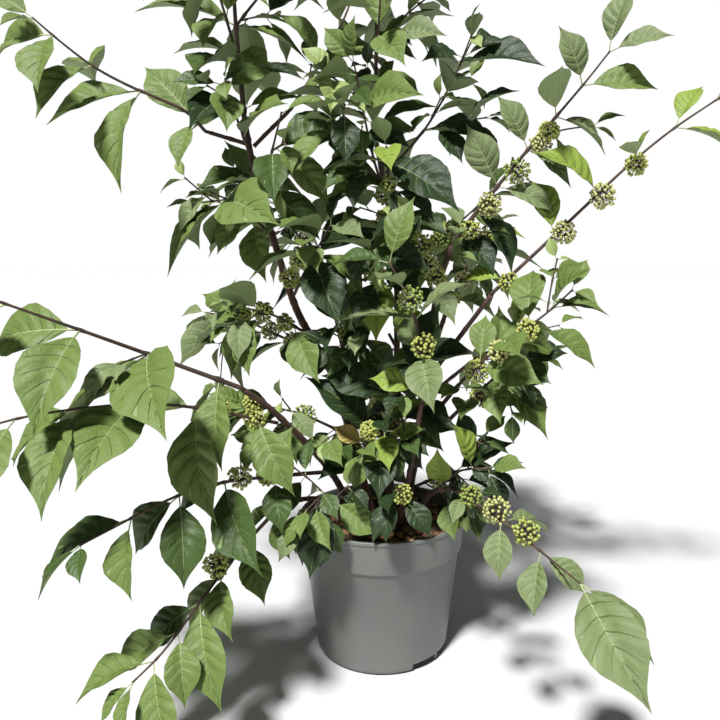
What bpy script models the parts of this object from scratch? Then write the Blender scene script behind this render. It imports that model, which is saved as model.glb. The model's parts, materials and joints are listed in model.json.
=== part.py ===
# Potted beautyberry: a many-stemmed fruiting shrub with arching arms, standing in a round grower's pot.
#
# Frame: metres, +Z up. The origin is the middle of the pot's flat underside, the front is towards -Y.
# Angles are in degrees: a lean is measured from straight up, an azimuth from +X towards +Y.
# The plant grows in code. A limb follows a few runs, each a length, a lean and an azimuth. A mass is one
# shoot that carries on from its limb, with side shoots, pairs of leaves and balls of fruit set by rule.

import math
from dataclasses import dataclass

import bmesh
import bpy
import numpy as np
from mathutils.bvhtree import BVHTree

# Pot
RIM_RADIUS = 0.120
POT_HEIGHT = 0.205
BAND_HEIGHT = 0.047
BAND_FOOT_RADIUS = 0.1170
WALL_TOP_RADIUS = 0.1130
BASE_RADIUS = 0.097
CORNER_RADIUS = 0.010
WALL = 0.0024
LIP = 0.0045
POT_STEPS = 32
SLOT_PAIRS = (53.0, 233.0)
SLOT_SPLAY = 14.0
SLOT_SIZE = (0.042, 0.020, 0.013)
SLOT_HEIGHT = 0.0062

# Soil
SOIL_TOP = 0.187

# Clearances
GAP = 0.0003
CLEAR = 0.0005
GROUND_CLEAR = 0.004

# Limbs
FLARE = 1.4
FLARE_HEIGHT = 0.010
LIMB_STEP = 0.040
LIMB_BEVEL = 1
LIMB_SIDES = 6
LEAD = 0.006

# Twigs, leaves and fruit
TWIG_STEP = 0.040
TWIG_TIP_RADIUS = 0.0010
TWIG_SIDES = 3
SECTION_FILL = 1.25
LEAF_WIDTH = 0.50
LEAF_THICKNESS = 0.014
LEAF_ROOT_RADIUS = 0.0008
LEAF_ARCH = 0.05
LEAF_FOLD = 0.18
FRUIT_RADIUS = 0.0185
FRUIT_SHIFT = 0.80
FRUIT_RISE = 0.40
FRUIT_SPAN = (0.85, 1.10)
STALK = 0.012
TRIES = 6
TRY_TURN = 0.30
TRY_SPREAD = 0.15
TRY_DROOP = 0.25
SEED = 1

# Habits of a shoot. A pair of values runs from its foot to its tip, and a span is a range for chance.
# The fullest leaves stand at a share of the shoot, and a leaf far from there is shorter.
SPREAD = (64.0, 46.0)
END_SPREAD = 34.0
CLOSING = (1.25, 0.65)
HANG = (1.0, 0.7)
FULLEST = 0.55
THINNING = 1.2
FIRST_NODE = 0.45
LENGTH_SPAN = (0.76, 1.16)
DROOP_SPAN = (0.5, 1.4)
SPACING_SPAN = (0.9, 1.1)
TURN_JITTER = 0.30
SPREAD_JITTER = 0.18

# A side shoot heads partly along its shoot, partly outwards and a little up
SIDE_HEADING = (0.70, 0.75, 0.15)
SIDE_SHARE = 0.45
SIDE_LEAST = 0.030
SIDE_BEND = 8.0
SIDE_SIZE = 0.8
SIDE_THICK = 0.8

# What a leaf's upper side turns to, beside straight up: along its shoot, out from it, and to the sun
FACE_AHEAD = 0.45
FACE_OUT = 0.30
FACE_SUN = 0.60

# The crown's whole space: an upright cylinder
CROWN_MIDDLE = (0.03, 0.0)
CROWN_RADIUS = 0.56
CROWN_TOP = 1.16

UP = np.array([0.0, 0.0, 1.0])
LEVEL = np.array([1.0, 1.0, 0.0])
SUNWARD = np.array([-0.5, -0.87, 0.0])

STEM_BARK = (0.070, 0.043, 0.036)
LEAF_GREEN = (0.125, 0.245, 0.062)
POT_GREY = (0.200, 0.208, 0.198)
SOIL_BROWN = (0.060, 0.040, 0.027)

# Limbs run as (length, lean, azimuth), one run after another.
# Stems: place of the foot on the soil, runs, radius at the foot and at the tip
STEMS = {
    "stem_left": ((-0.015, 0.008), [(0.225, 14, 180), (0.080, 36, 180), (0.105, 17, 180),
                                    (0.120, 15, 178), (0.055, 9, 170)], 0.0062, 0.0042),
    "stem_middle": ((0.010, 0.022), [(0.350, 3, 10), (0.190, 11, 180)], 0.0055, 0.0034),
    "stem_right": ((0.036, 0.006), [(0.200, 9, 340), (0.120, 3, 350), (0.080, 20, 330)], 0.0052, 0.0036),
    "stem_front": ((0.024, -0.046), [(0.120, 22, 291), (0.090, 20, 289)], 0.0042, 0.0030),
    "stem_front_left": ((-0.036, -0.022), [(0.090, 24, 196), (0.170, 47, 234), (0.040, 57, 228)],
                        0.0052, 0.0034),
    "stem_low_left": ((-0.050, -0.040), [(0.055, 26, 225), (0.080, 80, 226)], 0.0042, 0.0030),
    "stem_low_right": ((0.046, -0.034), [(0.065, 28, 305), (0.040, 70, 309)], 0.0042, 0.0030),
    "stem_back_left": ((-0.030, 0.050), [(0.220, 14, 118), (0.120, 27, 122)], 0.0052, 0.0034),
    "stem_back_right": ((0.040, 0.052), [(0.200, 16, 58), (0.110, 30, 52)], 0.0052, 0.0034),
    "stem_back_low": ((0.006, 0.074), [(0.070, 22, 92), (0.080, 60, 96)], 0.0044, 0.0030),
}

# Boughs: parent limb, distance along it or None for its tip, runs, radius at the foot and at the tip
BOUGHS = {
    "bough_top_inner": ("stem_left", 0.560, [(0.060, 46, 4)], 0.0030, 0.0026),
    "bough_left_upper": ("stem_left", 0.568, [(0.045, 80, 218)], 0.0030, 0.0026),
    "bough_left_low": ("stem_front_left", 0.100, [(0.070, 78, 236)], 0.0030, 0.0026),
    "bough_right": ("stem_right", 0.215, [(0.130, 36, 338)], 0.0036, 0.0030),
    "bough_front_right": ("stem_right", 0.140, [(0.080, 48, 300)], 0.0034, 0.0028),
    "bough_right_low": ("stem_right", 0.105, [(0.070, 42, 335)], 0.0034, 0.0028),
    "bough_back_left": ("stem_back_left", 0.190, [(0.090, 58, 150)], 0.0032, 0.0028),
    "bough_back_right": ("stem_back_right", 0.170, [(0.090, 60, 30)], 0.0032, 0.0028),
}


@dataclass
class Mass:
    """One mass of foliage: where its shoot starts, the way it runs, and what grows on it.

    Leaves stand in pairs. They are longest past the middle of the shoot, and their pairs come closer
    together towards its tip. On a flat shoot all pairs spread to its two sides, on others each pair is
    turned a quarter from the one before.
    """
    parent: str
    where: float | None
    runs: list
    leaf: float = 0.115
    spacing: float = 0.048
    droop: float = 0.6
    sides: int = 1
    fruit: tuple = ()
    flat: bool = False
    turn: float = 0.0
    last: float = 0.060


# The long arms that reach out of the crown, low and left first
ARMS = {
    "spray_left": Mass("stem_front_left", None, [(0.155, 65, 218), (0.150, 66, 226)],
                       leaf=0.148, spacing=0.078, droop=1.1, sides=0, turn=45, last=0.075),
    "spray_left_middle": Mass("stem_front_left", 0.215,
                              [(0.160, 71, 226), (0.130, 86, 227), (0.060, 97, 225)],
                              leaf=0.130, spacing=0.072, droop=1.0, sides=0, flat=True,
                              fruit=(0.020, 0.075)),
    "spray_left_low": Mass("bough_left_low", None, [(0.145, 79, 233), (0.140, 101, 230)],
                           leaf=0.115, spacing=0.062, droop=1.2, sides=0, fruit=(0.025, 0.070), flat=True),
    "spray_low_left": Mass("stem_low_left", None, [(0.095, 116, 232), (0.140, 121, 239), (0.035, 108, 232)],
                           leaf=0.105, spacing=0.044, droop=0.8, sides=0, fruit=(0.070, 0.118), flat=True,
                           last=0.070),
    "spray_low_right": Mass("stem_low_right", None, [(0.085, 95, 304), (0.145, 103, 302)],
                            leaf=0.075, spacing=0.070, droop=0.8, sides=0, fruit=(0.035, 0.082, 0.135),
                            flat=True, last=0.125),
    "spray_left_upper": Mass("bough_left_upper", None,
                             [(0.030, 54, 255), (0.120, 73, 211), (0.085, 54, 218)],
                             leaf=0.125, spacing=0.060, droop=0.8, sides=0, flat=True, turn=60, last=0.055),
    "spray_right_upper": Mass("stem_right", None, [(0.115, 40, 335), (0.150, 43, 331), (0.030, 37, 344)],
                              leaf=0.086, spacing=0.057, droop=0.5, sides=0, flat=True, turn=80,
                              fruit=(0.020, 0.060, 0.115, 0.160), last=0.070),
    "spray_right": Mass("bough_right", None, [(0.120, 46, 344), (0.150, 45, 344), (0.110, 57, 344)],
                        leaf=0.090, spacing=0.066, droop=0.7, sides=0, flat=True, turn=80,
                        fruit=(0.015, 0.110, 0.175, 0.228)),
    "spray_front": Mass("stem_front", None, [(0.070, 20, 267), (0.065, 17, 210), (0.050, 30, 180)],
                        leaf=0.085, spacing=0.044, droop=0.4, sides=0, turn=20, last=0.080,
                        fruit=(0.020, 0.075, 0.135)),
    "spray_front_right": Mass("bough_front_right", None,
                              [(0.080, 47, 305), (0.110, 53, 332), (0.030, 42, 332)],
                              leaf=0.090, spacing=0.042, sides=0, fruit=(0.050, 0.095, 0.140), last=0.045),
}

# The crown's own masses, top first, then its left, middle and right, its skirt and its back
CROWN = {
    "crown_top_left": Mass("stem_left", None, [(0.190, 4, 170), (0.150, 8, 60)], leaf=0.130, sides=2),
    "crown_left_top": Mass("stem_left", 0.545, [(0.040, 35, 250), (0.050, 35, 240)], leaf=0.135, droop=0.9),
    "crown_top_inner": Mass("bough_top_inner", None, [(0.130, 34, 4), (0.100, 20, 40)], leaf=0.115, sides=1),
    "crown_top": Mass("stem_middle", None, [(0.160, 3, 80), (0.140, 8, 80)], leaf=0.120, sides=3),
    "crown_top_right": Mass("stem_middle", 0.500, [(0.080, 45, 350), (0.120, 28, 340)]),
    "crown_top_front": Mass("stem_middle", 0.470, [(0.060, 50, 250), (0.120, 22, 240)], leaf=0.110),
    "crown_left_high": Mass("stem_left", 0.440, [(0.050, 50, 215), (0.040, 70, 215)], leaf=0.130, droop=1.3),
    "crown_left_fork": Mass("stem_left", 0.490, [(0.060, 50, 290), (0.070, 40, 300)], leaf=0.125, droop=1.0),
    "crown_left_middle": Mass("stem_left", 0.290, [(0.050, 60, 225), (0.050, 75, 220)],
                              droop=1.0, fruit=(0.020, 0.060)),
    "crown_left_inner": Mass("stem_left", 0.350, [(0.070, 50, 300), (0.060, 40, 320)],
                             leaf=0.120, droop=1.0, fruit=(0.030, 0.070)),
    "crown_left_back": Mass("stem_left", 0.450, [(0.080, 55, 110), (0.070, 60, 100)], leaf=0.110),
    "crown_left_low": Mass("stem_left", 0.130, [(0.090, 60, 215), (0.070, 80, 205)], leaf=0.110,
                           droop=0.9, fruit=(0.060,)),
    "crown_middle_high": Mass("stem_middle", 0.420, [(0.070, 50, 265), (0.070, 45, 265)],
                              leaf=0.125, droop=1.1, fruit=(0.060,)),
    "crown_middle": Mass("stem_middle", 0.310, [(0.080, 55, 250), (0.070, 50, 260)],
                         leaf=0.120, droop=0.9, fruit=(0.030, 0.080)),
    "crown_middle_right": Mass("stem_middle", 0.370, [(0.080, 55, 350), (0.070, 50, 340)],
                               droop=0.8, fruit=(0.030, 0.080)),
    "crown_left_foot": Mass("stem_left", 0.090, [(0.060, 50, 285), (0.060, 50, 300)],
                            droop=0.7, fruit=(0.040, 0.090)),
    "crown_middle_front": Mass("stem_middle", 0.110, [(0.060, 45, 280), (0.070, 45, 265)],
                               droop=0.7, fruit=(0.040, 0.090)),
    "crown_middle_low": Mass("stem_middle", 0.200, [(0.070, 45, 225), (0.060, 45, 235)],
                             droop=0.8, fruit=(0.030, 0.080)),
    "crown_right": Mass("stem_right", 0.330, [(0.070, 40, 240), (0.060, 30, 220)], leaf=0.090,
                        fruit=(0.030, 0.080)),
    "crown_right_front": Mass("stem_right", 0.160, [(0.070, 50, 262), (0.060, 45, 250)],
                              fruit=(0.040, 0.100)),
    "crown_right_middle": Mass("bough_right_low", None, [(0.070, 45, 330), (0.050, 50, 320)],
                               droop=0.6, fruit=(0.030, 0.080)),
    "crown_right_low": Mass("stem_right", 0.050, [(0.070, 60, 320), (0.060, 75, 320)], leaf=0.090,
                            droop=0.8, fruit=(0.030, 0.080)),
    "skirt_front": Mass("stem_front", 0.060, [(0.040, 55, 262), (0.030, 80, 256)], leaf=0.075,
                        droop=1.2, fruit=(0.020,), sides=0),
    "skirt_front_right": Mass("stem_low_right", 0.050, [(0.050, 40, 340), (0.050, 80, 330)], leaf=0.085,
                              droop=0.9, fruit=(0.020,)),
    "skirt_left": Mass("stem_low_left", 0.045, [(0.050, 50, 262), (0.055, 100, 243)], leaf=0.105,
                       spacing=0.040, droop=1.1, fruit=(0.020,)),
    "back_left": Mass("stem_back_left", None, [(0.120, 40, 125), (0.100, 55, 120)], leaf=0.115,
                      spacing=0.058, sides=2, fruit=(0.060, 0.110)),
    "back_right": Mass("stem_back_right", None, [(0.120, 45, 55), (0.100, 60, 60)], leaf=0.115,
                       spacing=0.058, sides=2, fruit=(0.060, 0.110)),
    "back_left_arm": Mass("bough_back_left", None, [(0.110, 70, 155), (0.090, 85, 150)], leaf=0.115,
                          spacing=0.058, droop=0.8, fruit=(0.050,)),
    "back_right_arm": Mass("bough_back_right", None, [(0.110, 70, 30), (0.090, 85, 35)], leaf=0.115,
                           spacing=0.058, droop=0.8, fruit=(0.050,)),
    "back_low": Mass("stem_back_low", None, [(0.120, 85, 95), (0.110, 100, 92)], leaf=0.115,
                     spacing=0.056, droop=0.8, fruit=(0.040, 0.100)),
}

MASSES = {**ARMS, **CROWN}


# Geometry of the growing


def unit(vector):
    return vector / np.linalg.norm(vector)


def heading(lean, azimuth):
    lean, azimuth = math.radians(lean), math.radians(azimuth)
    return np.array([math.sin(lean) * math.cos(azimuth), math.sin(lean) * math.sin(azimuth), math.cos(lean)])


def route(start, runs, step):
    """A smooth path from start through the ends of the runs, with a point about every step."""
    corners = [np.array(start, float)]
    for length, lean, azimuth in runs:
        corners.append(corners[-1] + length * heading(lean, azimuth))
    for _ in range(2):
        cut = [corners[0]]
        for a, b in zip(corners, corners[1:]):
            cut += [0.75 * a + 0.25 * b, 0.25 * a + 0.75 * b]
        corners = cut + [corners[-1]]
    return evenly(np.array(corners), step)


def evenly(points, step):
    """The same path with evenly spaced points."""
    far = distances(points)
    count = max(2, round(far[-1] / step) + 1)
    return np.column_stack([np.interp(np.linspace(0, far[-1], count), far, points[:, i]) for i in range(3)])


def distances(points):
    return np.concatenate([[0.0], np.cumsum(np.linalg.norm(np.diff(points, axis=0), axis=1))])


def frames(points):
    """The direction of a path at each point, and a side vector that is carried along without twist."""
    ahead = np.gradient(points, axis=0)
    ahead /= np.linalg.norm(ahead, axis=1)[:, None]
    guide = UP if abs(ahead[0][2]) < 0.94 else np.array([0.0, 1.0, 0.0])
    side = unit(np.cross(ahead[0], guide))
    sides = []
    for direction in ahead:
        side = unit(side - np.dot(side, direction) * direction)
        sides.append(side)
    return ahead, np.array(sides)


def place(points, distance):
    """The point, direction and side vector at a distance along a path."""
    far = distances(points)
    ahead, sides = frames(points)
    point, direction, side = [np.array([np.interp(distance, far, values[:, i]) for i in range(3)])
                              for values in (points, ahead, sides)]
    direction = unit(direction)
    return point, direction, unit(side - np.dot(side, direction) * direction)


def turned(vector, axis, angle):
    """A vector turned about an axis by an angle in radians."""
    return (vector * math.cos(angle) + np.cross(axis, vector) * math.sin(angle)
            + axis * np.dot(axis, vector) * (1 - math.cos(angle)))


# Solids, each as a list of points and a list of faces


def loft(rings, tip=None):
    """A closed solid through rings of equally many points, which ends in a flat cap or in one point."""
    count = len(rings[0])
    points = [p for ring in rings for p in ring]
    faces = [tuple(reversed(range(count)))]
    for r in range(len(rings) - 1):
        for i in range(count):
            a, b = r * count + i, r * count + (i + 1) % count
            faces += [(a, b, b + count), (a, b + count, a + count)]
    last = (len(rings) - 1) * count
    if tip is None:
        faces.append(tuple(range(last, last + count)))
    else:
        points.append(tip)
        faces += [(last + i, last + (i + 1) % count, len(points) - 1) for i in range(count)]
    return points, faces


def ring(middle, side, over, radius, sides):
    turns = [2 * math.pi * i / sides for i in range(sides)]
    return [middle + radius * (math.cos(t) * side + math.sin(t) * over) for t in turns]


def tube(points, radii, sides=TWIG_SIDES, swell=0.0):
    """A twig or limb of few sides. A twig's corners stand out, so that it has a round one's area."""
    ahead, side = frames(points)
    over = np.cross(ahead, side)
    fill = SECTION_FILL if sides == TWIG_SIDES else 1.0
    return loft([ring(points[i], side[i], over[i], radii[i] * fill + swell, sides)
                 for i in range(len(points))])


def leaf_solid(leaf, swell=0.0):
    """A leaf of seven flat faces: one wide folded section, a small root of the same form, and a point."""
    base, direction, normal, length = leaf
    side = np.cross(direction, normal)
    middle = base + direction * 0.5 * length + normal * LEAF_ARCH * length
    tip = base + direction * (0.97 * length + swell) - normal * LEAF_ARCH * length
    points = []
    for centre, half in ((base, LEAF_ROOT_RADIUS + swell), (middle, 0.5 * LEAF_WIDTH * length + swell)):
        deep = 2 * LEAF_THICKNESS / LEAF_WIDTH * half + 2 * swell
        points += [centre + side * half + normal * LEAF_FOLD * half, centre - normal * deep,
                   centre - side * half + normal * LEAF_FOLD * half]
    faces = [(0, 2, 1), (0, 1, 4, 3), (1, 2, 5, 4), (2, 0, 3, 5), (3, 4, 6), (4, 5, 6), (5, 3, 6)]
    return points + [tip], faces


def fruit_solid(fruit, swell=0.0):
    """A ball of fruit, as a twenty-faced solid round its node."""
    middle, radius, spin = fruit
    ball = bmesh.new()
    bmesh.ops.create_icosphere(ball, subdivisions=1, radius=radius + swell)
    axis = unit(np.array([0.3, 0.2, 1.0]))
    points = [middle + turned(np.array(v.co), axis, spin) for v in ball.verts]
    faces = [tuple(v.index for v in f.verts) for f in ball.faces]
    ball.free()
    return points, faces


SOLIDS = {"twig": lambda twig, swell=0.0: tube(*twig, swell=swell), "leaf": leaf_solid, "fruit": fruit_solid}


# The growing rule


def path_from(parent, parent_radius, distance, runs, radius, step):
    """A branch's path, 0.3 mm clear of its parent's tip, or of its side for a given distance along it.

    From a tip it first goes on in the parent's own direction, so that the two flat ends lie face to face.
    """
    if distance is None:
        point, direction, _ = place(parent, distances(parent)[-1])
        start, lead = point + direction * GAP, direction
    else:
        point, direction, _ = place(parent, distance)
        lead = heading(*runs[0][1:])
        lean = math.acos(float(np.clip(np.dot(lead, direction), -1, 1)))
        start = point + lead * (parent_radius + 2 * GAP + radius * abs(math.cos(lean))) / math.sin(lean)
    return np.vstack([start, route(start + lead * LEAD, runs, step)])


def taper(foot, tip, count):
    return np.linspace(foot, tip, count)


def limb_paths():
    """Every limb's path and radii, stems first and then the boughs that leave them."""
    limbs = {}
    for name, (place_on_soil, runs, foot, tip) in STEMS.items():
        start = np.array([*place_on_soil, SOIL_TOP + GAP])
        path = np.vstack([start, route(start + UP * FLARE_HEIGHT, runs, LIMB_STEP)])
        radii = np.concatenate([[foot * FLARE], taper(foot, tip, len(path) - 1)])
        limbs[name] = (path, radii)
    for name, (parent, distance, runs, foot, tip) in BOUGHS.items():
        path, radii = limbs[parent]
        thick = radii[-1] if distance is None else np.interp(distance, distances(path), radii)
        path = path_from(path, thick, distance, runs, foot, LIMB_STEP)
        limbs[name] = (path, taper(foot, tip, len(path)))
    return limbs


def facing(direction, ahead, out):
    """The way a leaf's upper side faces: up, outwards along its shoot, and to the sunny front."""
    face = UP + (FACE_AHEAD * ahead + FACE_OUT * out) * LEVEL + FACE_SUN * SUNWARD
    return unit(face - np.dot(face, direction) * direction)


def leaf_on(point, ahead, side, phase, spread, length, droop, roll):
    """A leaf's pose: out and forward from its shoot, and pulled down by its weight."""
    out = math.cos(phase) * side + math.sin(phase) * np.cross(side, ahead)
    direction = unit(ahead * math.cos(spread) + out * math.sin(spread) - UP * droop)
    return point, direction, turned(facing(direction, ahead, out), direction, roll), length


def leaf_pair(place_here, phase, spread, length, droop, rng):
    point, ahead, side = place_here
    for half in (0, math.pi):
        yield "leaf", (point, ahead, side, phase + half, spread + rng.normal(0, SPREAD_JITTER),
                       length * rng.uniform(*LENGTH_SPAN), droop * rng.uniform(*DROOP_SPAN))


def side_shoot(place_here, phase, thick, reach, mass, rng, size):
    point, ahead, side = place_here
    out = math.cos(phase) * side + math.sin(phase) * np.cross(side, ahead)
    along, outward, upward = SIDE_HEADING
    away = unit(ahead * along + out * outward + UP * upward)
    lean = math.degrees(math.acos(away[2]))
    azimuth = math.degrees(math.atan2(away[1], away[0]))
    runs = [(0.5 * reach, lean, azimuth), (0.5 * reach, lean + SIDE_BEND, azimuth)]
    return shoot(route(point, runs, TWIG_STEP), thick, mass, rng, SIDE_SIZE * size)


def shoot(path, foot_radius, mass, rng, size=1.0, sides=0):
    """One shoot with its fruit and leaves, and the side shoots that leave its nodes."""
    radii = taper(foot_radius, TWIG_TIP_RADIUS, len(path))
    far = distances(path)
    grown = [("twig", (path, radii))]
    if size == 1.0:
        for distance in mass.fruit:
            grown.append(("fruit", fruit_at(place(path, distance)[0], rng)))
    distance = FIRST_NODE * mass.spacing * size
    node = 0
    while distance < far[-1] - 0.25 * mass.spacing:
        here = place(path, distance)
        share = distance / far[-1]
        phase = node_phase(mass, node) + rng.normal(0, TURN_JITTER)
        fullness = 1.0 - THINNING * (share - FULLEST) ** 2
        grown += leaf_pair(here, phase, math.radians(between(SPREAD, share)), mass.leaf * size * fullness,
                           mass.droop * between(HANG, share), rng)
        if 0 < node <= sides:
            reach = SIDE_SHARE * (far[-1] - distance) + SIDE_LEAST
            bend = phase + math.pi * (node % 2) + rng.normal(0, TURN_JITTER)
            thick = SIDE_THICK * np.interp(distance, far, radii)
            grown.append(("shoot", side_shoot(here, bend, thick, reach, mass, rng, size)))
        node += 1
        distance += mass.spacing * size * between(CLOSING, share) * rng.uniform(*SPACING_SPAN)
    phase = node_phase(mass, node) + rng.normal(0, TURN_JITTER)
    grown += leaf_pair(place(path, far[-1] - 0.002), phase, math.radians(END_SPREAD), mass.last * size,
                       0.5 * mass.droop, rng)
    return grown


def between(pair, share):
    """A value on its way from a shoot's foot to its tip."""
    foot, tip = pair
    return foot + (tip - foot) * share


def fruit_at(point, rng, size=1.0):
    """A ball of fruit at a node. It encloses the node, and bulges to the crown's outside and up."""
    outward = unit((point - [*CROWN_MIDDLE, 0.0]) * LEVEL) + FRUIT_RISE * UP
    middle = point + FRUIT_SHIFT * FRUIT_RADIUS * size * unit(outward)
    return middle, FRUIT_RADIUS * size * rng.uniform(*FRUIT_SPAN), rng.uniform(0, 2 * math.pi)


def node_phase(mass, node):
    return math.radians(mass.turn + (0 if mass.flat else 90 * node))


def in_crown(points):
    """Whether all points lie in the crown's space and above the ground."""
    points = np.array(points)
    reach = np.linalg.norm(points[:, :2] - CROWN_MIDDLE, axis=1).max()
    return reach < CROWN_RADIUS and points[:, 2].max() < CROWN_TOP and points[:, 2].min() > GROUND_CLEAR


def tree_of(solid):
    points, faces = solid
    return BVHTree.FromPolygons([tuple(p) for p in points], faces)


def touches(solid, trees):
    tree = tree_of(solid)
    return any(tree.overlap(other) for other in trees)


def settle(kind, what, taken, own, rng):
    """A grown thing in a pose that is free, or None. A leaf is turned and lifted a little at each try."""
    if kind in ("twig", "fruit"):
        solid = SOLIDS[kind](what, CLEAR)
        return what if in_crown(solid[0]) and not touches(solid, taken) else None
    for _ in range(TRIES):
        point, ahead, side, phase, spread, length, droop = what
        leaf = leaf_on(point, ahead, side, phase, spread, length, droop, rng.normal(0, TRY_TURN))
        what = (point, ahead, side, phase + rng.normal(0, TRY_TURN), spread + rng.normal(0, TRY_SPREAD),
                length, max(0.0, droop + rng.normal(0, TRY_DROOP)))
        solid = leaf_solid(leaf, CLEAR)
        outer = leaf_solid((leaf[0] + leaf[1] * STALK, *leaf[1:3], leaf[3] - STALK), CLEAR)
        if in_crown(solid[0]) and not touches(solid, taken) and not touches(outer, own):
            return leaf
    return None


def grow_masses(limbs, solids_in_the_way):
    """Every mass as a list of (kind, thing): first all main shoots, then what each carries, in turn."""
    taken = [tree_of(solid) for solid in solids_in_the_way]
    taken += [tree_of(tube(path, radii, LIMB_SIDES, GAP / 2)) for path, radii in limbs.values()]
    shoots = {}
    for name, mass in MASSES.items():
        path, radii = limbs[mass.parent]
        thick = radii[-1] if mass.where is None else np.interp(mass.where, distances(path), radii)
        foot = 0.92 * radii[-1] if mass.where is None else min(0.0024, 0.6 * thick)
        path = path_from(path, thick, mass.where, mass.runs, foot * SECTION_FILL, TWIG_STEP)
        earlier = taken + [tree for _, _, tree in shoots.values()]
        while len(path) > 3 and touches(main_shoot(path, foot, GAP), earlier):
            path = path[:-1]
            print(name, "is cut short to", round(distances(path)[-1], 3))
        shoots[name] = (path, foot, tree_of(main_shoot(path, foot)))
    masses = {}
    for number, (name, mass) in enumerate(MASSES.items()):
        path, foot, own_tree = shoots[name]
        others = taken + [tree for other, (_, _, tree) in shoots.items() if other != name]
        rng = np.random.default_rng([SEED, number])
        grown = shoot(path, foot, mass, rng, sides=mass.sides)
        kept, own = grown[:1], [own_tree]
        settle_all(grown[1:], others, own, kept, rng)
        print(name, "keeps", len(kept), "of", count_of(grown))
        taken += [tree_of(SOLIDS[kind](thing)) for kind, thing in kept[1:]]
        masses[name] = kept
    return masses


def main_shoot(path, foot_radius, swell=0.0):
    return tube(path, taper(foot_radius, TWIG_TIP_RADIUS, len(path)), swell=swell)


def count_of(grown):
    return sum(count_of(what) if kind == "shoot" else 1 for kind, what in grown)


def settle_all(grown, taken, own, kept, rng):
    """Keeps what is free. A side shoot that isn't free is left out with all that it carries."""
    for kind, what in grown:
        if kind == "shoot":
            if settle("twig", what[0][1], taken, own, rng):
                settle_all(what, taken, own, kept, rng)
            continue
        thing = settle(kind, what, taken, own, rng)
        if thing is not None:
            kept.append((kind, thing))
            own.append(tree_of(SOLIDS[kind](thing)))


# Blender objects


def material(name, colour, roughness):
    made = bpy.data.materials.get(name) or bpy.data.materials.new(name)
    made.use_nodes = True
    shader = made.node_tree.nodes["Principled BSDF"]
    shader.inputs["Base Color"].default_value = (*colour, 1.0)
    shader.inputs["Roughness"].default_value = roughness
    shader.inputs["Metallic"].default_value = 0.0
    made.diffuse_color = (*colour, 1.0)
    return made


def add_object(name, data, collection, look=None):
    made = bpy.data.objects.new(name, data)
    collection.objects.link(made)
    if look:
        data.materials.append(look)
    return made


def mesh_from(name, solid):
    points, faces = solid
    mesh = bpy.data.meshes.new(name)
    mesh.from_pydata([tuple(p) for p in points], [], faces)
    mesh.validate()
    return mesh


def add_turned(name, profile, collection, look):
    """A profile of (radius, height) points turned round the Z axis."""
    mesh = bpy.data.meshes.new(name)
    edges = [(i, i + 1) for i in range(len(profile) - 1)]
    mesh.from_pydata([(r, 0.0, z) for r, z in profile], edges, [])
    turned_object = add_object(name, mesh, collection, look)
    screw = turned_object.modifiers.new("turn", "SCREW")
    screw.steps = screw.render_steps = POT_STEPS
    screw.use_merge_vertices = True
    screw.merge_threshold = 0.0001
    screw.use_smooth_shade = True
    return turned_object


def inner_radius(height):
    """The pot's inside radius at a height, below its band."""
    share = height / (POT_HEIGHT - BAND_HEIGHT)
    return BASE_RADIUS + (WALL_TOP_RADIUS - BASE_RADIUS) * min(share, 1.0) - WALL


def arc(middle, radius, start, end, count):
    angles = [math.radians(start + (end - start) * i / (count - 1)) for i in range(count)]
    return [(middle[0] + radius * math.cos(a), middle[1] + radius * math.sin(a)) for a in angles]


def pot_profile():
    shoulder = POT_HEIGHT - BAND_HEIGHT
    corner = arc((BASE_RADIUS - CORNER_RADIUS, CORNER_RADIUS), CORNER_RADIUS, 0, -90, 3)
    lip = [(RIM_RADIUS - LIP, POT_HEIGHT), (RIM_RADIUS, POT_HEIGHT), (RIM_RADIUS, POT_HEIGHT - 0.003)]
    inside = [(0.0, WALL), (BASE_RADIUS - CORNER_RADIUS, WALL), (inner_radius(CORNER_RADIUS), CORNER_RADIUS),
              (inner_radius(shoulder), shoulder + 0.004), (RIM_RADIUS - LIP, POT_HEIGHT - 0.006)]
    band = [(BAND_FOOT_RADIUS, shoulder), (WALL_TOP_RADIUS, shoulder)]
    return inside + lip + band + corner + [(0.0, 0.0)]


def add_pot(collection, cutters):
    pot = add_turned("pot", pot_profile(), collection, material("pot grey plastic", POT_GREY, 0.42))
    for pair in SLOT_PAIRS:
        for splay in (-SLOT_SPLAY, SLOT_SPLAY):
            turn = math.radians(pair + splay - 90)
            box = bmesh.new()
            bmesh.ops.create_cube(box, size=1.0)
            bmesh.ops.scale(box, vec=SLOT_SIZE, verts=box.verts)
            mesh = bpy.data.meshes.new("drain slot")
            box.to_mesh(mesh)
            box.free()
            cutter = add_object("drain slot", mesh, cutters)
            cutter.location = (BASE_RADIUS * math.cos(turn), BASE_RADIUS * math.sin(turn), SLOT_HEIGHT)
            cutter.rotation_euler = (0, 0, turn + math.pi / 2)
            cutter.hide_render = True
            cutter.display_type = "WIRE"
            cut = pot.modifiers.new("drain slot", "BOOLEAN")
            cut.object = cutter
            cut.solver = "EXACT"
    return pot


def soil_profile():
    floor = WALL + GAP
    foot = BASE_RADIUS - CORNER_RADIUS - GAP
    side = inner_radius(CORNER_RADIUS) - GAP
    shoulder = POT_HEIGHT - BAND_HEIGHT + 0.004
    top = inner_radius(shoulder) - GAP
    return [(0.0, SOIL_TOP), (top, SOIL_TOP), (top, shoulder), (side, CORNER_RADIUS + 2 * GAP),
            (foot, floor + GAP), (0.0, floor + GAP)]


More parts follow.
